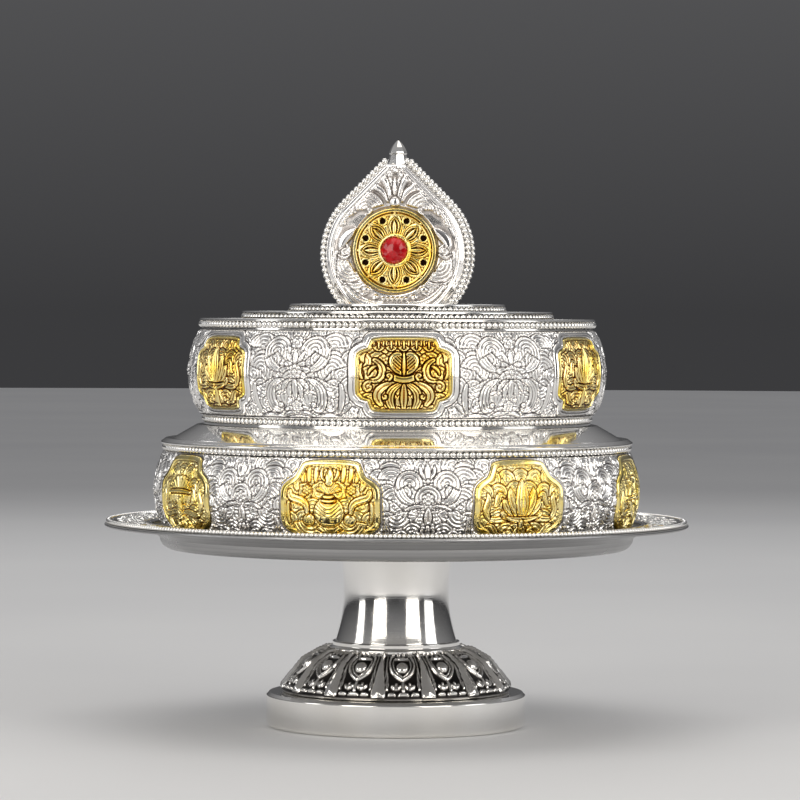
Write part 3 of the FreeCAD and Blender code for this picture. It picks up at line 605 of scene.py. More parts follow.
def relief_wall(name, artwork, frame_width, cell):
    """A wall of chased relief in sectors that meet behind the gilt panels; cell is the mesh's spacing."""
    bulge, count = Bulge(f"{name}_wall"), PANEL_COUNT[name]
    clock, half_width, half_height = panel_place(name)
    half_sector = math.pi / count
    across = 2 * round(half_sector * bulge.girth / cell) + 1
    angles = np.linspace(-half_sector, half_sector, across)
    heights = np.linspace(bulge.low, bulge.high, round((bulge.high - bulge.low) / cell))
    angle, height = np.meshgrid(angles, heights, indexing="ij")
    radius = bulge.radius(height)
    art = Relief(angle * bulge.girth, height - bulge.middle, weight=1.25)
    artwork(art)
    art.height *= WALL_DEPTH
    outline = cartouche(name, half_width, half_height)
    beyond = half_sector - np.abs(angle)
    outside = -inside_distance(outline, radius * np.sin(beyond), height - bulge.middle)
    art.band(outside, frame_width, 0.62)
    art.height *= 1 - 0.7 * eased(0.3, 0, np.abs(outside - frame_width * 0.36))
    art.height[outside <= 0] = 0
    art.height *= eased(0, 0.5, np.minimum(height - bulge.low, bulge.high - height))
    back_height = np.linspace(bulge.high, bulge.low, WALL_BACK_ROWS)
    back_height = np.broadcast_to(back_height, (across, WALL_BACK_ROWS))
    rings = about_axis(np.concatenate([radius + art.height, bulge.radius(back_height) - WALL_SHEET], 1),
                       angles[:, None], np.concatenate([height, back_height], 1))
    # painted shade: the wall's grooves and low ground come out dark in the material
    shade = np.pad(art.cavity(4), ((0, 0), (0, WALL_BACK_ROWS)), constant_values=1)
    piece = shell(f"{name}_wall_master", rings, relief=shade)
    repeated(piece, f"{name}_wall_chased", range(count), count, clock + half_sector, CHASED, f"{name}_wall")


# ---------------------------------------------------------------- gilt panels

def ribbons(art):
    """Streamers that curl out to both sides of an emblem and down to the foot of a panel."""
    art.leaf([(1.5, -4.4), (5.6, -2.2), (8.6, -6.2), (12.2, -3.6)], (0.5, 1.2, 1.2, 0.5), rise=0.7)
    art.leaf([(12.0, -3.8), (14.4, -0.6), (11.0, 1.2), (12.6, 4.0)], (0.6, 1.3, 1.1, 0.4), rise=0.7)
    art.leaf([(1.0, -4.8), (4.6, -7.6), (3.4, -10.2), (7.8, -9.4)], (0.5, 1.3, 1.2, 0.6), rise=0.75)
    art.leaf([(6.6, -9.6), (10.2, -9.6), (9.6, -5.4), (12.0, -6.4)], (0.6, 1.2, 1.0, 0.4), rise=0.7)
    art.leaf([(6.6, 3.2), (9.6, 5.8), (8.2, 0.6), (10.2, 0.2)], (0.4, 1.2, 1.0, 0.4), rise=0.65)


def vase(art):
    """A vase hung with garlands, under a lotus and a jewel, between sweeping streamers."""
    art.leaf([(13.9, 1.2), (14.9, -2.0), (13.6, -5.2)], (0.4, 1.1, 0.4), rise=0.7)
    art.arches((6.2, -4.2), 6.4, facing=-105, spread=190, rise=0.75)
    art.bead((6.9, -4.4), 2.1, rise=0.85)
    art.leaf([(13.4, 4.8), (13.8, 0.8), (7.2, 4.0), (7.4, -2.0)], (0.7, 1.4, 1.4, 0.6), rise=0.9)
    art.leaf([(10.6, 10.6), (12.2, 8.4), (10.8, 5.6)], (0.5, 1.3, 0.6), rise=0.75)
    art.flower((7.4, 5.4), 1.7, 6, rise=0.85)
    for x in (4.6, 7.0, 9.2):
        art.leaf([(x, 12.6), (x * 1.04, 10.4), (x * 0.98, 8.2)], (0.6, 0.9, 0.5), rise=0.8)
    art.rays((0, -9.6), 5.0, 7, facing=90, spread=130, rise=0.95)
    art.bead((0, -1.8), 5.1, rise=1.15)
    dip = 1.5 * np.cos(art.x * 0.62)
    waves = stripes((art.y + 0.4 + dip) / 1.3)
    body = (np.hypot(art.x, art.y + 1.8) < 4.7) & (art.y > -3.4)
    art.height = np.where(body, art.height * (0.68 + 0.32 * waves), art.height)
    for height, reach in ((1.9, 2.0), (3.2, 1.4)):
        art.rod([(-reach, height), (0, height - 0.4), (reach, height)], (0.5, 0.6, 0.5), 1.2)
    art.rays((0, 3.9), 4.7, 7, facing=90, spread=150, rise=1.05)
    art.leaf([(0, 8.0), (0, 10.2), (0, 12.6)], (1.2, 1.5, 0.2), rise=1.1, keeled=True)
    art.rod([(1.6, 8.4), (3.2, 9.8), (2.6, 12.4)], (0.3, 0.8, 0.3), 0.9)


def lotus(art):
    ribbons(art)
    for angle, length in ((4, 8.2), (30, 8.6), (56, 8.8)):
        turn = math.radians(angle)
        tip = (length * math.cos(turn) * 0.9, -2.6 + length * math.sin(turn) * 1.15)
        art.leaf([(0.6, -3.4), (tip[0] * 0.75 + 0.8, tip[1] * 0.5 - 2.0), tip], (0.9, 2.4, 0.3), rise=0.9)
    art.leaf([(0, -3.4), (0, 2.4), (0, 8.6)], (1.0, 3.4, 0.3), rise=1.05)
    art.leaf([(-5.4, -3.6), (0, -5.4), (5.4, -3.6)], (0.5, 1.4, 0.5), rise=0.95)
    art.leaf([(0, -5.0), (0.4, -8.0), (0, -11.0)], (0.7, 0.7, 0.5), rise=0.8)
    art.volute((4.2, -8.4), 2.0, start=90, hand=-1, rise=0.8)


def wheel(art):
    ribbons(art)
    reach = np.hypot(art.x, art.y - 0.8)
    where = np.abs(reach - 5.9) < 1.6
    art.lay(where, 1.1 - np.abs(reach[where] - 5.9), np.full(int(where.sum()), 0.95))
    for k in range(-1, 3):
        turn = math.radians(45 * k)
        along = (math.cos(turn), math.sin(turn))
        art.leaf([(along[0] * s, 0.8 + along[1] * s) for s in (0.8, 3.4, 7.6)], (0.4, 0.9, 0.4), rise=0.9)
        art.bead((along[0] * 8.2, 0.8 + along[1] * 8.2), 0.9, rise=0.85)
    art.leaf([(0, 0), (0, -3.4), (0, -6.8)], (0.4, 0.9, 0.4), rise=0.9)
    art.flower((0, 0.8), 2.5, 8, rise=1.1, eye=0.45)
    art.rays((0, -12.4), 5.0, 5, facing=90, spread=110, rise=0.9)


def parasol(art):
    ribbons(art)
    art.rays((0, 1.6), 7.2, 7, facing=90, spread=150, rise=1.0)
    for x in (1.2, 3.6, 6.0):
        art.leaf([(x, 2.4), (x, 0.8), (x, -0.6)], (1.0, 1.1, 0.5), rise=0.85)
    art.leaf([(-7.4, 2.8), (0, 3.6), (7.4, 2.8)], (0.6, 0.8, 0.6), rise=1.0)
    art.bead((0, 9.6), 1.2, rise=1.0)
    art.leaf([(0, 0.2), (0, -4.4), (0, -10.6)], (0.8, 0.8, 0.7), rise=0.9)
    art.flower((0, -4.8), 1.9, 6, rise=0.95)
    art.volute((4.0, -8.6), 2.0, start=90, hand=-1, rise=0.8)


def tasselled_palmette(art):
    """A fringe of tassels over a pair of veined leaves, which a curled band and streamers hold."""
    for x in (0.0, 4.1, 8.2):
        art.arches((x, 9.6), 2.15, facing=-90, spread=180, rise=0.8)
        art.leaf([(x - 1.6, 12.6), (x - 1.7, 11.0), (x - 1.5, 9.6)], (0.4, 0.4, 0.3), rise=0.8)
        art.leaf([(x + 1.6, 12.6), (x + 1.7, 11.0), (x + 1.5, 9.6)], (0.4, 0.4, 0.3), rise=0.8)
        art.leaf([(x, 12.6), (x, 10.6), (x, 8.6)], (0.5, 0.5, 0.3), rise=0.9)
    art.flower((6.6, 4.9), 2.0, 5, rise=0.9)
    art.leaf([(11.8, 8.2), (14.4, 7.4), (13.4, 4.2)], (0.5, 1.2, 0.5), rise=0.75)
    art.leaf([(13.8, 3.6), (15.4, 1.0), (13.6, -1.2)], (0.4, 1.1, 0.4), rise=0.7)
    art.leaf([(9.6, 4.8), (6.0, 3.4), (6.2, -2.2), (10.4, -1.8)], (0.7, 1.2, 1.4, 0.7), rise=0.95)
    art.leaf([(9.2, 2.8), (11.2, 2.2), (11.6, 0.2)], (0.4, 0.9, 0.3), rise=0.8)
    art.volute((11.6, -4.0), 2.5, start=120, hand=1, rise=0.85)
    art.leaf([(1.2, -2.8), (7.8, -2.6), (10.6, -6.4), (7.4, -9.6)], (0.6, 1.3, 1.5, 0.8), rise=0.9)
    art.leaf([(1.0, -3.0), (5.0, -4.6), (5.6, -8.0), (3.6, -10.8)], (0.6, 1.4, 1.5, 0.8), rise=0.95)
    art.volute((6.2, -7.0), 1.5, start=-60, hand=1, rise=0.9)
    art.leaf([(0, -3.2), (0.2, -7.0), (0, -11.0)], (0.5, 1.5, 0.6), rise=1.0)
    art.rod([(0.9, 0.6), (5.6, 2.4), (4.6, 7.6), (0.9, 6.6)], (0.7, 0.9, 0.9, 0.6), 1.0)
    veins = stripes((art.y - art.x * 0.9) / 1.15)
    heart = (np.hypot(art.x - 2.1, (art.y - 3.9) * 0.8) < 1.75) & (art.x > 0.7)
    art.height = np.where(heart, 0.15 + 0.75 * veins, art.height)
    art.rod([(0, 0.2), (0, 3.2), (0, 7.0)], (0.5, 0.7, 0.4), 1.0)
    art.rod([(-5.0, 0.2), (0, -3.4), (5.0, 0.2)], (0.9, 1.0, 0.9), 1.1)
    art.volute((5.0, -0.4), 1.9, start=-90, hand=1, rise=1.1)


def knot(art):
    """An endless knot over streamers."""
    ribbons(art)
    for shift in (-3.2, 0.0, 3.2):
        for hand in (1, -1):
            start, end = (-5.6, shift - 5.6 * hand), (5.6, shift + 5.6 * hand)
            art.leaf([start, (0, shift), end], (0.7, 0.7, 0.7), rise=0.9)
    for side in (-1, 1):
        art.arches((0, side * 7.4), 2.3, facing=90 * side, spread=200, rise=0.9)
    art.arches((6.6, 0), 2.3, facing=0, spread=200, rise=0.9)
    art.flower((0, 0), 1.8, 4, rise=1.1, clock=45)
    art.volute((4.6, -9.0), 1.9, start=90, hand=-1, rise=0.8)


FINE_PANEL = (460, 84)     # points round a panel and from its edge to its middle
COARSE_PANEL = (320, 60)   # for the rings that the outer one hides
PANEL_BACK_ROWS = 8
PANEL_HUB = 0.006          # size of the hole at the middle of a panel's mesh
PANEL_PROUD = 0.35         # how far a panel's ground is from its wall
INNER_SCALE = 0.72         # size of the inner ring's emblems


def gilt_panel(title, name, artwork, material, numbers):
    """A stamped panel on a wall: a smooth frame round an emblem; numbers are its places round the axis."""
    bulge = Bulge(f"{name}_wall")
    clock, half_width, half_height = panel_place(name)
    outline = cartouche(name, half_width, half_height)
    around, rows = FINE_PANEL if name in ("pan", "outer_ring") else COARSE_PANEL
    edge, _ = evenly(outline, count=around, closed=True)
    shares = np.concatenate([np.linspace(PANEL_HUB, 1, PANEL_BACK_ROWS), np.linspace(1, PANEL_HUB, rows)])
    all_x, all_y = shares[:, None] * edge[:, 0], shares[:, None] * edge[:, 1]
    x, y = all_x[PANEL_BACK_ROWS:], all_y[PANEL_BACK_ROWS:]
    scale = INNER_SCALE if name == "inner_ring" else 1.0
    art = Relief(x / scale, y / scale, weight=1.25, groove=0.42)
    art.clouds(17, 15, 5.6, 0.5)
    artwork(art)
    inside = inside_distance(outline, x, y)
    border = 1.9 if name == "pan" else 0.8
    frame_height = 0.55 * eased(0, 0.35, inside) * eased(0, 0.45, border - inside)
    art.height = art.height * eased(border, border + 0.5, inside) + frame_height
    # painted shade in the emblem's grooves; the frame is left evenly bright
    relief = np.where(inside < border, 1, art.cavity(3))
    reach = bulge.radius(all_y + bulge.middle)
    reach[:PANEL_BACK_ROWS] += SOLDER_GAP
    reach[PANEL_BACK_ROWS:] += PANEL_PROUD + art.height
    rings = np.stack([all_x, -np.sqrt(reach ** 2 - all_x ** 2), all_y + bulge.middle], -1)
    shade = np.pad(relief, ((PANEL_BACK_ROWS, 0), (0, 0)), constant_values=1)
    piece = shell(f"{title}_master", rings, relief=shade, flat_caps=False)
    repeated(piece, title, numbers, PANEL_COUNT[name], clock, material, f"{name}_gilt_panels")


# ---------------------------------------------------------------- lotus dome and tray border

def outer_face(outline):
    """The dome's outer face, from its foot to the hole at its top."""
    return outline[:, 0].argmax(), np.lexsort((outline[:, 0], -outline[:, 1]))[0]


def upper_face(outline):
    """The border's upper face, from its outer edge inwards."""
    return (np.lexsort((-outline[:, 1], -outline[:, 0]))[0],
            np.lexsort((-outline[:, 1], outline[:, 0]))[0])


def skirt(node, artwork, repeats, width, rows, columns, fold):
    """A turned node whose outer face carries artwork; fold picks that face's ends from the node's outline.

    x in the artwork runs from the middle of a repeat, stretched to the same width at every height, and y runs
    from the outer end of the face inwards.
    """
    outline, _ = section(node)
    first, last = fold(outline)
    face = outline[first:last + 1] if first < last else outline[last:first + 1][::-1]
    under = np.array([point for point in outline if not any((point == kept).all() for kept in face)])
    length = run_lengths(face)[-1]
    at = np.linspace(0, length, rows)
    fine = along_run(face, at)
    for _ in range(4):       # ease the bends of the face
        fine[1:-1] = (fine[:-2] + 2 * fine[1:-1] + fine[2:]) / 4
    run = np.gradient(fine, axis=0)
    normal = np.stack([-run[:, 1], run[:, 0]], -1) / np.hypot(*run.T)[:, None]
    if normal[:, 1].sum() < 0:
        normal = -normal
    total = columns * repeats
    share = (np.arange(total) % columns) / columns * 2 - 1
    art = Relief(*np.meshgrid(share * width / 2, at, indexing="ij"))
    artwork(art)
    art.height *= eased(0, 0.4, art.y) * eased(0, 0.4, length - art.y)
    radius, height = (np.concatenate([fine[:, k] + art.height * normal[:, k],
                                      np.broadcast_to(under[:, k], (total, len(under)))], 1) for k in (0, 1))
    # painted shade in the grooves of the dome's petals and of the tray border
    shade = np.pad(art.cavity(4), ((0, 0), (0, len(under))), constant_values=1)
    rings = about_axis(radius, full_turn(total)[:, None], height)
    show(shell(f"{node}_chased", rings, wrap=True, relief=shade), PATINA_AND_SHADE, node)


def lotus_petals(art):
    """One petal: a jewel in a heart over an arch, a lip of short bars, and half a spear on each side."""
    half = art.x.max()
    art.height[:] = 0.0
    for start, end in ((-1.2, 1.2), (3.3, 4.8)):
        art.rod([(start, 1.4), ((start + end) / 2, 1.5), (end, 1.4)], (0.7, 0.8, 0.7), 1.0)
    art.rod([(half - 2.2, 19), (half - 2.2, 10), (half - 3.0, 3.4)], (0.3, 0.45, 0.5), 0.7)
    art.leaf([(half, 21), (half, 12), (half, 5.0), (half, 1.6)], (0.7, 1.3, 2.4, 2.6), rise=1.7, keeled=True)
    art.rod([(5.2, 4.6), (6.2, 7.4), (5.8, 10.6)], (0.2, 0.55, 0.2), 0.5)
    art.arches((2.5, 5.3), 2.1, facing=-90, spread=190, rise=0.8)
    art.bead((2.5, 5.6), 0.6, rise=0.7)
    art.rod([(0, 2.9), (0, 4.6), (0, 6.6)], (0.7, 0.5, 0.5), 0.8)
    art.rod([(4.4, 18.6), (6.6, 13.4), (4.6, 9.6), (0, 7.2)], (0.5, 0.6, 0.6, 0.6), 1.0)
    art.rod([(3.3, 17.4), (4.8, 13.2), (3.4, 10.4), (0, 8.6)], (0.3, 0.4, 0.4, 0.35), 0.7)
    art.bead((0, 12.4), 2.6, rise=1.15, flatten=0.9)
    art.rod([(-2.8, 16.6), (0, 17.3), (2.8, 16.6)], (0.55, 0.7, 0.55), 0.9)
    for x in (1.3, 4.0):
        art.rod([(x, 18.4), (x, 20.0), (x, 21.6)], (0.5, 0.9, 0.5), 0.6)


def border_scrolls(art):
    """Open scrolls of fine wire, back to back, between two raised lines."""
    middle, half = art.y.max() / 2, art.x.max()
    art.height[:] = 0.0
    art.rod([(0, middle - 5.0), (5.0, middle - 5.6), (6.6, middle + 1.0), (2.6, middle + 1.4)],
             (0.3, 0.5, 0.5, 0.4), 0.8)
    art.rod([(2.6, middle + 1.4), (0.4, middle - 0.4), (2.2, middle - 3.4), (3.6, middle - 1.2)],
             (0.4, 0.4, 0.4, 0.5), 0.8)
    art.rod([(half, middle - 3.6), (half - 1.8, middle + 0.6), (half - 2.6, middle + 4.6)],
            (0.5, 0.6, 0.3), 0.75)
    art.leaf([(0, middle + 1.0), (0, middle + 2.8), (0, middle + 4.8)], (0.4, 0.9, 0.3), rise=0.75)
    art.bead((3.0, middle + 4.0), 0.7, rise=0.7)
    for line in (0.8, art.y.max() - 0.9):
        where = np.abs(art.y - line) < 1.0
        art.lay(where, 0.5 - np.abs(art.y[where] - line), np.full(int(where.sum()), 0.6))


# ---------------------------------------------------------------- top ornament

class Jewel:
    """The plaque's outline: a circle cut flat at its foot, with straight sides that lean in to a tip."""

    def __init__(self):
        points = vertices("ornament_front_shell")
        self.radius = points[:, 0].max()
        self.foot, self.top = points[:, 2].min(), points[:, 2].max()
        self.tip = points[points[:, 2] > self.top - TOUCH][:, 0].max()
        self.centre = self.top + self.tip - self.radius * math.sqrt(2)
        self.depth = -points[:, 1].min()

    def side(self, grow=0.0, foot=None):
        """The right side from the foot up to the tip, moved out by grow, as (x, z) points."""
        radius, foot = self.radius + grow, self.foot if foot is None else foot
        start = math.pi / 2 - math.acos((self.centre - foot) / radius)
        angles = np.linspace(-start, math.pi / 4, 90)
        arc = np.stack([radius * np.cos(angles), self.centre + radius * np.sin(angles)], -1)
        tip = (self.tip + grow * (math.sqrt(2) - 1), self.top + grow)
        return np.vstack([arc, [tip]])

    def outline(self):
        right = self.side()
        return np.vstack([right, right[::-1] * (-1, 1)])

    def pointed(self):
        """The outline with its sides run on to a point above the tip."""
        right = self.side()[:-1]
        return np.vstack([right, [(0, self.top + self.tip)], right[::-1] * (-1, 1)])


def acanthus(art):
    """The plaque's leaves, about the wheel's centre: plumes under the tip, and curls down the sides."""
    art.height[:] = 0.0
    art.arches((13.6, -7.0), 9.0, facing=-60, spread=190, rise=0.8)
    art.arches((15.2, -4.6), 6.4, facing=-35, spread=170, rise=1.1)
    art.leaf([(4.6, -17.8), (10.4, -19.6), (15.6, -14.6), (16.6, -12.2)], (0.8, 1.6, 1.9, 0.6), rise=0.9)
    art.bead((10.0, -13.4), 1.7, rise=1.1, flatten=0.7)
    art.bead((6.7, -15.9), 1.3, rise=1.0, flatten=0.7)
    for x in (0.8, 2.4, 4.0):
        art.bead((x, -16.6), 0.75, rise=1.0)
    art.rod([(20.4, -9.2), (21.6, -4.4), (20.2, -0.4)], (0.5, 1.5, 0.6), 1.1)
    art.rod([(12.8, 7.2), (15.2, 6.6), (18.6, 3.6), (18.6, 0.4)], (0.5, 2.0, 2.4, 0.8), 1.2)
    art.volute((17.0, -0.4), 2.7, rise=1.2, start=100, hand=-1)
    art.rod([(15.0, -1.2), (17.4, -3.6), (19.4, -1.6)], (0.4, 0.9, 0.4), 1.3)
    art.rod([(14.0, 13.2), (19.0, 13.6), (21.8, 8.8), (21.4, 3.2)], (0.8, 2.8, 2.6, 0.7), 1.3)
    art.arches((17.2, 8.8), 3.3, facing=35, spread=120, rise=1.4)
    art.arches((9.8, 13.8), 6.4, facing=80, spread=170, rise=1.1)
    art.rod([(2.4, 17.2), (4.6, 23.2), (13.8, 25.0), (15.0, 12.4)], (0.9, 1.5, 1.5, 0.7), 1.6)
    art.volute((9.0, 13.6), 1.9, rise=1.2, start=-60, hand=1)
    art.rod([(1.4, 17.4), (2.0, 24.2), (5.0, 26.6), (7.8, 24.6)], (0.8, 1.7, 1.5, 0.6), 1.7)
    art.rod([(0.4, 19.0), (1.0, 24.6), (3.4, 27.6)], (0.5, 1.0, 0.4), 1.3)
    art.flower((1.7, 26.0), 1.2, 5, rise=1.4)
    art.rod([(0, 18.6), (0, 21.4), (0, 24.6)], (0.5, 1.3, 0.4), 1.4)
    art.flower((0, 27.2), 1.1, 6, rise=1.6)
    art.bead((0, 16.4), 1.9, rise=1.5, flatten=1.2)


def faced(side, across, up, out):
    """Points on one side of the ornament: across to the right as it is seen, up, and out from its middle."""
    sign = SIDES[side]
    return np.stack(np.broadcast_arrays(across * -sign, out * sign, up), -1)


def hub_of(node):
    """The height of the middle of a node of the ornament."""
    low, high = corners_of(node)
    return (low[2] + high[2]) / 2


PLAQUE_POINTS = (520, 96)  # round the plaque, and from its middle to its edge
PLAQUE_EDGE = 1.0          # radius of its rounded edge
PLAQUE_SHEET = 1.0         # its thickness
PLAQUE_SEAM = 0.03         # each half's gap to the middle
PLAQUE_MARGIN = 1.7        # width of the plain margin inside the beads
WHEEL_CLEARANCE = 0.3      # of the leaves round the wheel


def plaque_half(side):
    """One stamped half of the plaque: chased face, rounded edge, plain hollow back."""
    jewel, hub = Jewel(), hub_of(f"ornament_{side}_wheel")
    around, rows = PLAQUE_POINTS
    edge, way = evenly(jewel.outline(), count=around, closed=True)
    outward = np.stack([way[:, 1], -way[:, 0]], -1)
    heart = np.array([0, jewel.centre])
    face_edge, inner = edge - outward * PLAQUE_EDGE, edge - outward * PLAQUE_SHEET
    face = heart + np.linspace(0.01, 1, rows)[:, None, None] * (face_edge - heart)
    x, y = face[..., 0], face[..., 1] - hub
    art = Relief(x, y)
    acanthus(art)
    inside = inside_distance(jewel.pointed(), x, face[..., 1]) - PLAQUE_EDGE
    art.height *= eased(PLAQUE_MARGIN - 0.2, PLAQUE_MARGIN + 0.6, inside)
    art.height += 0.45 * eased(0, 0.8, PLAQUE_MARGIN - inside) * eased(0, 0.5, inside)
    art.height += 0.3 * eased(PLAQUE_MARGIN, PLAQUE_MARGIN + 0.8, inside)
    wheel_edge = corners_of(f"ornament_{side}_wheel")[1][0] + WHEEL_CLEARANCE
    art.height *= eased(wheel_edge, wheel_edge + 0.6, np.hypot(x, y))
    bends = [(face_edge + outward * PLAQUE_EDGE * math.sin(turn),
              jewel.depth - PLAQUE_EDGE + PLAQUE_EDGE * math.cos(turn))
             for turn in np.linspace(0.2, 1, 5) * math.pi / 2]
    bends += [(edge, PLAQUE_SEAM), (inner, PLAQUE_SEAM), (inner, jewel.depth - PLAQUE_SHEET)]
    bends += [(heart + share * (inner - heart), jewel.depth - PLAQUE_SHEET) for share in (0.6, 0.2, 0.01)]
    flat = np.concatenate([face, [ring for ring, _ in bends]])
    out = np.concatenate([jewel.depth + art.height, [np.full(around, out) for _, out in bends]])
    # painted shade in the leaves' grooves; the margin is left evenly bright
    shade = np.pad(np.where(inside < PLAQUE_MARGIN, 1, art.cavity(6)), ((0, len(bends)), (0, 0)),
                   constant_values=1)
    rings = faced(side, flat[..., 0], flat[..., 1], out)
    piece = shell(f"ornament_{side}_shell_chased", rings, relief=shade, flat_caps=False)
    show(piece, SOFT, f"ornament_{side}_shell")


def plaque_beads(side):
    node = f"ornament_{side}_beads"
    low, high = corners_of(node)
    bead = (high[1] - low[1]) / 2
    jewel = Jewel()
    run, way = evenly(jewel.side(high[0] - bead - jewel.radius, foot=low[2] + bead), spacing=1.85 * bead)
    both = [(hand, place, along) for hand in (1, -1) for place, along in zip(run, way)]
    beaded(node, np.array([(x * hand, (low[1] + high[1]) / 2, z) for hand, (x, z), _ in both]),
           np.array([(dx * hand, 0, dz) for hand, _, (dx, dz) in both], float), bead)


WHEEL_POINTS = (480, 84)   # round the wheel, and from its middle to its edge
WHEEL_SHEET = 0.75         # height of the wheel's ground
WHEEL_LEAST = 0.25         # its height at the bottom of the holes
PETALS = 8
EYE_SHARE = 0.745          # how far out the raised eyes are
EYE = 1.9                  # radius of a raised eye, and of the hole in it
HOLE = 1.05


def gilt_wheel(side):
    """Eight ribbed petals round the stone, with a hole in a raised eye between each pair."""
    node = f"ornament_{side}_wheel"
    radius = corners_of(node)[1][0]
    around, rows = WHEEL_POINTS
    angles = full_turn(around)
    shares = np.linspace(0.01, 1, rows)
    shares = np.concatenate([shares, shares[::-12][:6]])[:, None]       # the face, then the back
    across, up = shares * radius * np.sin(angles), shares * radius * np.cos(angles)
    art = Relief(across[:rows], up[:rows], mirrored=False)
    reach = np.hypot(art.x, art.y)
    art.height[:] = 0.25
    for k in range(PETALS):
        angle = k * 2 * math.pi / PETALS
        along = np.array((math.sin(angle), math.cos(angle)))
        aside = np.array((along[1], -along[0]))
        art.rod([along * 4.4, along * 9.0, along * 12.4], (0.9, 4.4, 0.6), 0.9)
        for hand in (1, -1):
            art.rod([along * 5.0 + aside * hand * 0.3, along * 8.6 + aside * hand * 2.9, along * 11.2],
                    (0.3, 0.6, 0.3), 1.3)
        art.rod([along * 5.2, along * 7.6, along * 10.2], (0.4, 1.3, 0.3), 1.3)
        between = angle + math.pi / PETALS
        eye = np.array((math.sin(between), math.cos(between))) * radius * EYE_SHARE
        away = np.hypot(art.x - eye[0], art.y - eye[1])
        art.height = np.where(away < EYE, 0.75 * eased(0, 0.4, EYE - away), art.height)
        art.height = np.where(away < HOLE, -1.0 * eased(0, 0.25, HOLE - away), art.height)
    line = np.abs(reach - radius + 2.3)
    art.height = np.where(line < 0.45, 0.7 * eased(0, 0.4, 0.45 - line) + 0.2, art.height)
    art.height = np.where(reach > radius - 1.6, 0.95 * eased(0, 0.4, reach - radius + 1.6), art.height)
    art.height *= 1 - 0.9 * eased(radius - 0.35, radius, reach)
    # painted shade: dark grooves, and the holes painted black where only shade shows through them
    relief = np.clip(art.cavity(3) * eased(-0.6, 0.1, art.height), 0, 1)
    back_rows = len(shares) - rows
    out = np.concatenate([np.maximum(WHEEL_SHEET + art.height, WHEEL_LEAST),
                          np.full((back_rows, around), SOLDER_GAP)])
    shade = np.pad(relief, ((0, back_rows), (0, 0)), constant_values=1)
    rings = faced(side, across, hub_of(node) + up, Jewel().depth + out)
    show(shell(f"{node}_chased", rings, relief=shade, flat_caps=False), GOLD, node)


STONE_SIDES = 12


def bezel_and_stone(side):
    """A scalloped collar and a stone cut with a flat table and two rows of facets."""
    low, high = corners_of(f"ornament_{side}_bezel")
    hub = (low[2] + high[2]) / 2
    stone_low, stone_high = corners_of(f"ornament_{side}_stone")
    radius = stone_high[0]
    seat, crown = sorted(abs(v) for v in (stone_low[1], stone_high[1]))
    angles = full_turn(144)
    outer, top = high[0], max(abs(low[1]), abs(high[1]))
    scallop = 0.16 * np.abs(np.sin(angles * 12))
    profile = [(radius + 0.05, seat), (outer + 0.35, seat), (outer + 0.35 - scallop, seat + 0.55),
               (outer - 0.25 - scallop, top - 0.15), (radius + 0.45, top), (radius + 0.05, top - 0.1)]
    rings = np.array([faced(side, r * np.sin(angles), hub + r * np.cos(angles), out) for r, out in profile])
    show(shell(f"ornament_{side}_bezel_scalloped", rings, wrap=True), GOLD, f"ornament_{side}_bezel")

    # Each level of the stone has a radius, a depth and a turn, in sides.
    levels = [(radius * 0.9, seat + 0.02, 0), (radius * 0.99, seat + 0.5, 0), (radius * 0.99, seat + 0.75, 0),
              (radius * 0.80, seat + (crown - seat) * 0.62, 0.5), (radius * 0.50, crown - 0.12, 0)]
    points, faces = [], []
    for reach, depth, shift in levels:
        angles = (np.arange(STONE_SIDES) + shift) * 2 * math.pi / STONE_SIDES
        points += list(faced(side, reach * np.sin(angles), hub + reach * np.cos(angles), depth))
    table = len(points)
    points.append((0, (crown + 0.25) * SIDES[side], hub))
    for level in range(len(levels)):
        for k in range(STONE_SIDES):
            a, b = level * STONE_SIDES + k, level * STONE_SIDES + (k + 1) % STONE_SIDES
            c, d = a + STONE_SIDES, b + STONE_SIDES
            if level == len(levels) - 1:
                faces.append((a, b, table))
            elif levels[level + 1][2] == levels[level][2]:
                faces.append((a, b, d, c))
            elif levels[level + 1][2]:
                faces += [(a, b, c), (c, b, d)]
            else:
                faces += [(a, d, c), (a, b, d)]
    faces.append(tuple(reversed(range(STONE_SIDES))))
    if side == "back":
        faces = [face[::-1] for face in faces]
    show(mesh_object(f"ornament_{side}_stone_cut", points, faces), GLASS, f"ornament_{side}_stone")


def finial():
    """The faceted bud on the tip."""
    outline, closed = section("ornament_finial")
    outline = softened(outline, closed, 0.1, sharp=8)
    piece = shell("ornament_finial_faceted", about_axis(outline[:, :1], full_turn(8), outline[:, 1:]))
    piece.data.polygons.foreach_set("use_smooth", [False] * len(piece.data.polygons))
    show(piece, SILVER, "ornament_finial")


def lotus_collar():
    """The ring of small petals at the plaque's foot."""
    outline, closed = section("ornament_lotus_ring")
    profile = softened(outline, closed, 0.3)
    angles = full_turn(640)
    rings = about_axis(profile[:, :1], angles, profile[:, 1:])
    between = 1 - np.abs(np.cos(angles * 20)) ** 0.6
    outer = eased(outline[:, 0].mean(), outline[:, 0].max(), profile[:, 0])
    rings[..., :2] *= (1 - 0.035 * outer[:, None] * between)[..., None]
    # painted shade darkens the gaps between the petals
    shade = 1 - between * outer[:, None]
    show(shell("ornament_lotus_ring_chased", rings, wrap=closed, relief=shade), CHASED, "ornament_lotus_ring")


# ---------------------------------------------------------------- materials

class Nodes:
    """A node tree, with short ways to build it."""

    def __init__(self, tree):
        self.tree = tree

    def node(self, kind, **settings):
        node = self.tree.nodes.new(kind)
        for key, value in settings.items():
            if key in node.inputs:
                node.inputs[key].default_value = value
            else:
                setattr(node, key, value)
        return node

    def link(self, source, target):
        self.tree.links.new(source, target)

    def ramp(self, source, *stops):
        ramp = self.node("ShaderNodeValToRGB")
        elements = ramp.color_ramp.elements
        while len(elements) < len(stops):
            elements.new(0.5)
        for element, (place, colour) in zip(elements, stops):
            element.position = place
            element.color = (*colour, 1)
        self.link(source, ramp.inputs["Fac"])
        return ramp.outputs["Color"]


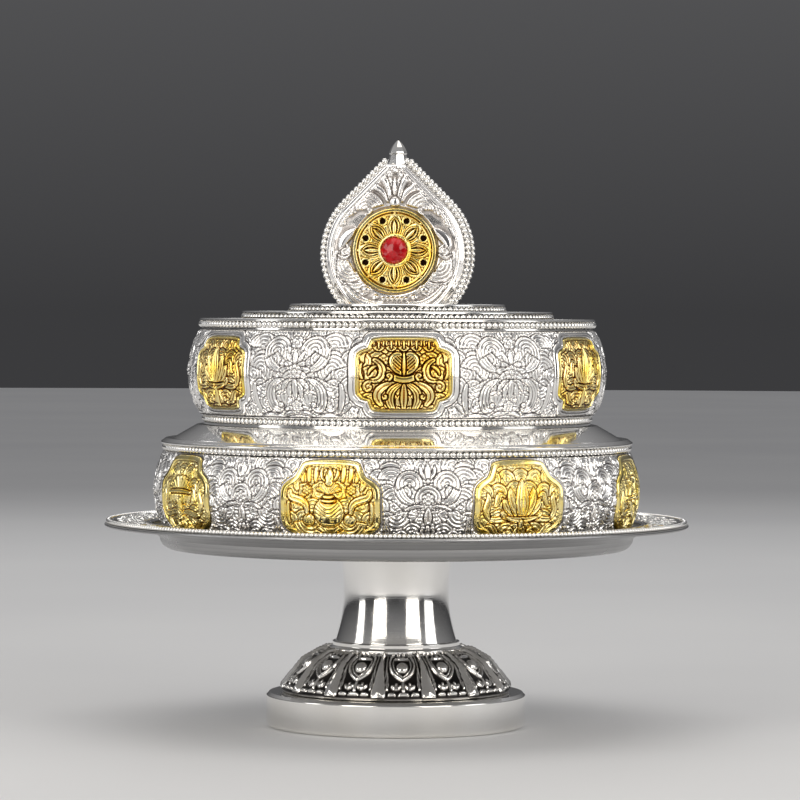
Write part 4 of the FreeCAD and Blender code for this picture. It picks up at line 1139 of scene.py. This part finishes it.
class Paint(Nodes):
    """A node-built material around one Principled shader."""

    def __init__(self, name, **values):
        self.material = bpy.data.materials.new(name)
        self.material.use_nodes = True
        super().__init__(self.material.node_tree)
        self.shader = self.tree.nodes["Principled BSDF"]
        for socket, value in values.items():
            self.shader.inputs[socket.replace("_", " ")].default_value = value

    def noise(self, scale, detail=4.0, stretch=(1, 1, 1), roughness=0.5):
        place = self.node("ShaderNodeTexCoord")
        mapping = self.node("ShaderNodeMapping", Scale=stretch)
        noise = self.node("ShaderNodeTexNoise", Scale=scale, Detail=detail, Roughness=roughness)
        self.link(place.outputs["Object"], mapping.inputs["Vector"])
        self.link(mapping.outputs["Vector"], noise.inputs["Vector"])
        return noise.outputs["Fac"]

    def spin_lines(self, scale):
        """Noise that depends only on the distance from the axis and the height, like marks of spinning."""
        place = self.node("ShaderNodeTexCoord")
        parts = self.node("ShaderNodeSeparateXYZ")
        squares = [self.node("ShaderNodeMath", operation="MULTIPLY") for _ in range(2)]
        total = self.node("ShaderNodeMath", operation="ADD")
        root = self.node("ShaderNodeMath", operation="SQRT")
        joined = self.node("ShaderNodeCombineXYZ")
        noise = self.node("ShaderNodeTexNoise", Scale=scale, Detail=3.0)
        self.link(place.outputs["Object"], parts.inputs[0])
        for k, square in enumerate(squares):
            self.link(parts.outputs[k], square.inputs[0])
            self.link(parts.outputs[k], square.inputs[1])
            self.link(square.outputs[0], total.inputs[k])
        self.link(total.outputs[0], root.inputs[0])
        self.link(root.outputs[0], joined.inputs["X"])
        self.link(parts.outputs["Z"], joined.inputs["Z"])
        self.link(joined.outputs[0], noise.inputs["Vector"])
        return noise.outputs["Fac"]

    def attribute(self, name):
        return self.node("ShaderNodeAttribute", attribute_name=name).outputs["Fac"]

    def ranged(self, source, low, high, start=0.3, end=0.7):
        spread = self.node("ShaderNodeMapRange")
        for socket, value in (("From Min", start), ("From Max", end), ("To Min", low), ("To Max", high)):
            spread.inputs[socket].default_value = value
        self.link(source, spread.inputs["Value"])
        return spread.outputs["Result"]

    def mixed(self, factor, first, second):
        mix = self.node("ShaderNodeMix", data_type="RGBA")
        self.link(factor, mix.inputs["Factor"])
        for socket, value in zip((s for s in mix.inputs if s.type == "RGBA"), (first, second)):
            if isinstance(value, tuple):
                socket.default_value = (*value, 1)
            else:
                self.link(value, socket)
        return next(s for s in mix.outputs if s.type == "RGBA")

    def colour(self, source):
        self.link(source, self.shader.inputs["Base Color"])

    def rough(self, source):
        self.link(source, self.shader.inputs["Roughness"])

    def bump(self, source, depth):
        bump = self.node("ShaderNodeBump", Strength=1.0, Distance=depth)
        self.link(source, bump.inputs["Height"])
        self.link(bump.outputs["Normal"], self.shader.inputs["Normal"])


GRAIN = 0.000012           # depth of the grain of plate and gilding, in metres


def polished_silver():
    """Bright plate with faint spinning marks, a little haze and a few warmer patches."""
    paint = Paint("polished_silver_plate", Metallic=1.0)
    haze = paint.noise(38, 3)
    paint.colour(paint.ramp(haze, (0.3, (0.88, 0.86, 0.82)), (0.7, (0.97, 0.96, 0.94))))
    paint.rough(paint.ranged(paint.noise(210, 5, roughness=0.6), 0.05, 0.14))
    paint.bump(paint.spin_lines(2600), 0.000006)
    return paint.material


def relief_silver(name, dark, half_shade, light):
    """Plated relief with painted shade: dark in the narrow grooves, a half shade above them, bright on the
    crests, with a faint peened grain.
    """
    paint = Paint(name, Metallic=1.0)
    relief = paint.attribute("relief")
    # painted shade ramp: groove shade, half shade, then the plate's own bright colour on the crests
    groove_shade = paint.ramp(relief, (0.05, dark), (0.30, half_shade), (0.52, light))
    haze = paint.noise(90, 4)
    paint.colour(paint.mixed(paint.ranged(haze, 0.0, 0.10), groove_shade, half_shade))
    paint.rough(paint.ranged(relief, 0.34, 0.13, 0.05, 0.6))
    paint.bump(paint.noise(900, 3), GRAIN)
    return paint.material


def satin_silver():
    """Spun satin grey sheet, as under the tray."""
    paint = Paint("satin_spun_silver", Metallic=1.0)
    lines = paint.spin_lines(1900)
    paint.colour(paint.ramp(lines, (0.3, (0.34, 0.34, 0.345)), (0.7, (0.47, 0.465, 0.46))))
    paint.rough(paint.ranged(paint.noise(60, 4), 0.26, 0.38))
    paint.bump(lines, GRAIN)
    return paint.material


def gilding(name, groove, amber, crest, highlight_share):
    """Gilding over relief with painted shade and painted highlights: nearly black in the deepest grooves,
    amber above them, yellow on the crests, with paler highlight patches on the crests.
    """
    paint = Paint(name, Metallic=1.0)
    relief = paint.attribute("relief")
    tone = paint.ramp(relief, (0.0, (0.012, 0.005, 0.002)), (groove, (0.22, 0.07, 0.008)),
                      ((groove + crest) / 2, amber), (crest, (1.0, 0.75, 0.15)))
    # painted highlights: noisy pale patches over the crests
    highlight_patches = paint.node("ShaderNodeMath", operation="MULTIPLY")
    paint.link(paint.ranged(paint.noise(120, 3), 0.0, highlight_share, 0.36, 0.62), highlight_patches.inputs[0])
    paint.link(paint.ranged(relief, 0.0, 1.0, groove, crest), highlight_patches.inputs[1])
    paint.colour(paint.mixed(highlight_patches.outputs[0], tone, (1.0, 0.89, 0.49)))
    paint.rough(paint.ranged(relief, 0.30, 0.11, 0.1, 0.7))
    paint.bump(paint.noise(1000, 3), GRAIN)
    return paint.material


def red_glass():
    """Deep red cut glass, a little cloudy."""
    paint = Paint("red_cut_glass", Roughness=0.06, IOR=1.5, Coat_Weight=0.25, Coat_Roughness=0.03)
    paint.shader.inputs["Specular IOR Level"].default_value = 0.4
    paint.colour(paint.ramp(paint.noise(260, 3), (0.35, (0.34, 0.001, 0.004)), (0.7, (0.66, 0.008, 0.014))))
    return paint.material


def plated_steel():
    paint = Paint("plated_steel", Metallic=1.0)
    grain = paint.noise(400, 4, stretch=(1, 1, 6))
    paint.colour(paint.ramp(grain, (0.3, (0.46, 0.46, 0.47)), (0.7, (0.66, 0.66, 0.67))))
    paint.rough(paint.ranged(grain, 0.24, 0.4))
    paint.bump(grain, 0.00001)
    return paint.material


def red_felt():
    paint = Paint("dark_red_felt", Roughness=0.95)
    paint.shader.inputs["Sheen Weight"].default_value = 0.6
    fibres = paint.noise(1800, 6, roughness=0.7)
    paint.colour(paint.ramp(fibres, (0.3, (0.05, 0.008, 0.012)), (0.7, (0.16, 0.03, 0.04))))
    paint.bump(fibres, 0.0003)
    return paint.material


SILVER = polished_silver()
# painted shade in the grooves, in three strengths: strong on the walls, soft on the plaque, nearly black on
# the dome and tray border, where antique patina is deepened with painted shade
CHASED = relief_silver("chased_silver_plate", (0.07, 0.06, 0.06), (0.50, 0.47, 0.45), (0.97, 0.955, 0.93))
SOFT = relief_silver("soft_chased_silver_plate", (0.34, 0.31, 0.29), (0.66, 0.62, 0.59), (0.93, 0.91, 0.89))
PATINA_AND_SHADE = relief_silver("patina_and_painted_shade_silver_plate", (0.02, 0.018, 0.017), (0.28, 0.26, 0.24), (0.92, 0.90, 0.86))
SATIN = satin_silver()
# the rings' panels take a darker copy of the gilding as painted shade; both copies paint shade in the grooves
# and highlights on the crests
GOLD = gilding("bright_gilding", 0.14, (0.94, 0.54, 0.06), 0.46, 0.9)
SHADED_GOLD = gilding("shaded_gilding", 0.36, (0.72, 0.30, 0.025), 0.72, 0.65)
GLASS = red_glass()
STEEL = plated_steel()
FELT = red_felt()
FINISH = {"polished_silver": SILVER, "relief_silver": CHASED, "satin_silver": SATIN, "gilt": GOLD,
          "red_glass": GLASS, "steel": STEEL, "felt": FELT}

for node_name, part in frame["nodes"].items():
    part.data.materials.clear()
    part.data.materials.append(FINISH[SLOT[node_name]])

# ---------------------------------------------------------------- make the pieces

for node_name in ("foot_plinth", "stem_collar", "stem", "pan_rim", "pan_top_plate", "ornament_cap"):
    turned_piece(node_name, SILVER)
for node_name in ("tray_dish", "pan_foot_ring", "inner_ring_ledge"):
    turned_piece(node_name, SATIN, turns=BROAD_TURNS)
for ring in RINGS:
    for edge_name in ("foot", "top"):
        turned_piece(f"{ring}_{edge_name}_rim", SILVER, fillet=0.12)
        bead_hoop(f"{ring}_{edge_name}_beads")
bead_hoop("pan_rim_beads")
bead_hoop("tray_edge_beads")

relief_wall("pan", pan_scrollwork, frame_width=0.5, cell=0.22)
relief_wall("outer_ring", ring_scrollwork, frame_width=2.7, cell=0.21)
relief_wall("middle_ring", ring_scrollwork, frame_width=2.0, cell=0.34)
relief_wall("inner_ring", ring_scrollwork, frame_width=1.6, cell=0.34)

for title, artwork, places in (("vase", vase, (0, 4)), ("lotus", lotus, (1, 5)), ("wheel", wheel, (2,)),
                               ("parasol", parasol, (3, 7)), ("knot", knot, (6,))):
    gilt_panel(f"pan_{title}_panel", "pan", artwork, GOLD, places)
for ring, title, artwork, places in (("outer_ring", "palmette", tasselled_palmette, (0, 2, 4)),
                                     ("outer_ring", "lotus", lotus, (1, 3, 5)),
                                     ("middle_ring", "palmette", tasselled_palmette, range(5)),
                                     ("inner_ring", "lotus", lotus, range(4))):
    gilt_panel(f"{ring}_{title}_panel", ring, artwork, SHADED_GOLD, places)

skirt("foot_lotus_dome", lotus_petals, repeats=14, width=17.6, rows=112, columns=62, fold=outer_face)
skirt("tray_border", border_scrolls, repeats=44, width=13.0, rows=44, columns=36, fold=upper_face)
for side in SIDES:
    plaque_half(side)
    plaque_beads(side)
    gilt_wheel(side)
    bezel_and_stone(side)
finial()
lotus_collar()

# ---------------------------------------------------------------- floor, light and camera

STAGE_RADIUS = 6.0
BACKDROP_LOW = (0.055, 0.055, 0.058)
BACKDROP_HIGH = (0.42, 0.42, 0.43)
BACKDROP_STRENGTH = 0.8


def studio():
    """A plain pale floor, and a soft grey room that is lighter above."""
    bpy.ops.mesh.primitive_circle_add(vertices=96, radius=STAGE_RADIUS, fill_type="NGON", location=(0, 0, 0))
    floor = bpy.context.object
    floor.name = "floor"
    paint = Paint("pale_floor", Roughness=0.8, Specular_IOR_Level=0.1)
    paint.colour(paint.ramp(paint.noise(3, 2), (0.3, (0.66, 0.66, 0.665)), (0.7, (0.70, 0.70, 0.70))))
    floor.data.materials.append(paint.material)

    world = bpy.data.worlds.new("studio")
    world.use_nodes = True
    bpy.context.scene.world = world
    room = Nodes(world.node_tree)
    background = room.tree.nodes["Background"]
    background.inputs["Strength"].default_value = BACKDROP_STRENGTH
    place = room.node("ShaderNodeTexCoord")
    parts = room.node("ShaderNodeSeparateXYZ")
    room.link(place.outputs["Generated"], parts.inputs[0])
    room.link(room.ramp(parts.outputs["Z"], (0.0, BACKDROP_LOW), (0.6, BACKDROP_HIGH)),
              background.inputs["Color"])


LIGHT_AIM = (0, 0, 0.1)
WARM = (1.0, 0.965, 0.915)
WHITE = (1, 1, 1)


def softbox(name, azimuth, distance, height, size, power, tint):
    """A rectangular lamp; azimuth is in degrees from the front towards +X, the rest in metres and watts."""
    light = bpy.data.lights.new(name, "AREA")
    light.color = tint
    light.shape = "RECTANGLE"
    light.size, light.size_y = size
    light.energy = power
    lamp = bpy.data.objects.new(name, light)
    lamp.location = about_axis(distance, math.radians(azimuth), height)
    lamp.rotation_euler = (Vector(LIGHT_AIM) - lamp.location).to_track_quat("-Z", "Y").to_euler()
    bpy.context.scene.collection.objects.link(lamp)


CAMERA_AZIMUTH = 9.0       # degrees from the front towards +X
CAMERA_DISTANCE = 1.372
CAMERA_HEIGHT = 0.142
CAMERA_PITCH = 1.26        # degrees down
CAMERA_ROLL = -0.25
LENS, SENSOR = 180, 36
AXIS_OFFSET = 0.0010       # how far left of the picture's middle the axis stands


def camera():
    turn = math.radians(CAMERA_AZIMUTH)
    lens = bpy.data.cameras.new("camera")
    lens.lens = LENS
    lens.sensor_width = SENSOR
    view = bpy.data.objects.new("camera", lens)
    view.location = about_axis(CAMERA_DISTANCE, turn, CAMERA_HEIGHT)
    right = Vector((math.cos(turn), math.sin(turn), 0))
    drop = CAMERA_DISTANCE * math.tan(math.radians(CAMERA_PITCH))
    aim = Vector((0, 0, CAMERA_HEIGHT - drop)) + right * AXIS_OFFSET
    look = (aim - view.location).to_track_quat("-Z", "Y").to_matrix()
    view.rotation_euler = (look @ Matrix.Rotation(math.radians(-CAMERA_ROLL), 3, "Z")).to_euler()
    bpy.context.scene.collection.objects.link(view)
    bpy.context.scene.camera = view


studio()
softbox("key_left", -26, 1.2, 0.52, (0.62, 0.95), 6.1, WARM)
softbox("key_right", 45, 1.2, 0.52, (0.64, 0.95), 6.1, WARM)
softbox("side_right", 84, 1.2, 0.45, (0.5, 0.8), 2.4, WHITE)
softbox("side_left", -70, 1.2, 0.45, (0.35, 0.8), 1.8, WHITE)
softbox("overhead", 0, 0.05, 1.25, (1.0, 1.0), 3.8, WARM)
softbox("behind", 190, 1.2, 0.95, (0.9, 0.5), 3.0, WHITE)
camera()
bpy.context.scene.view_settings.view_transform = "Standard"
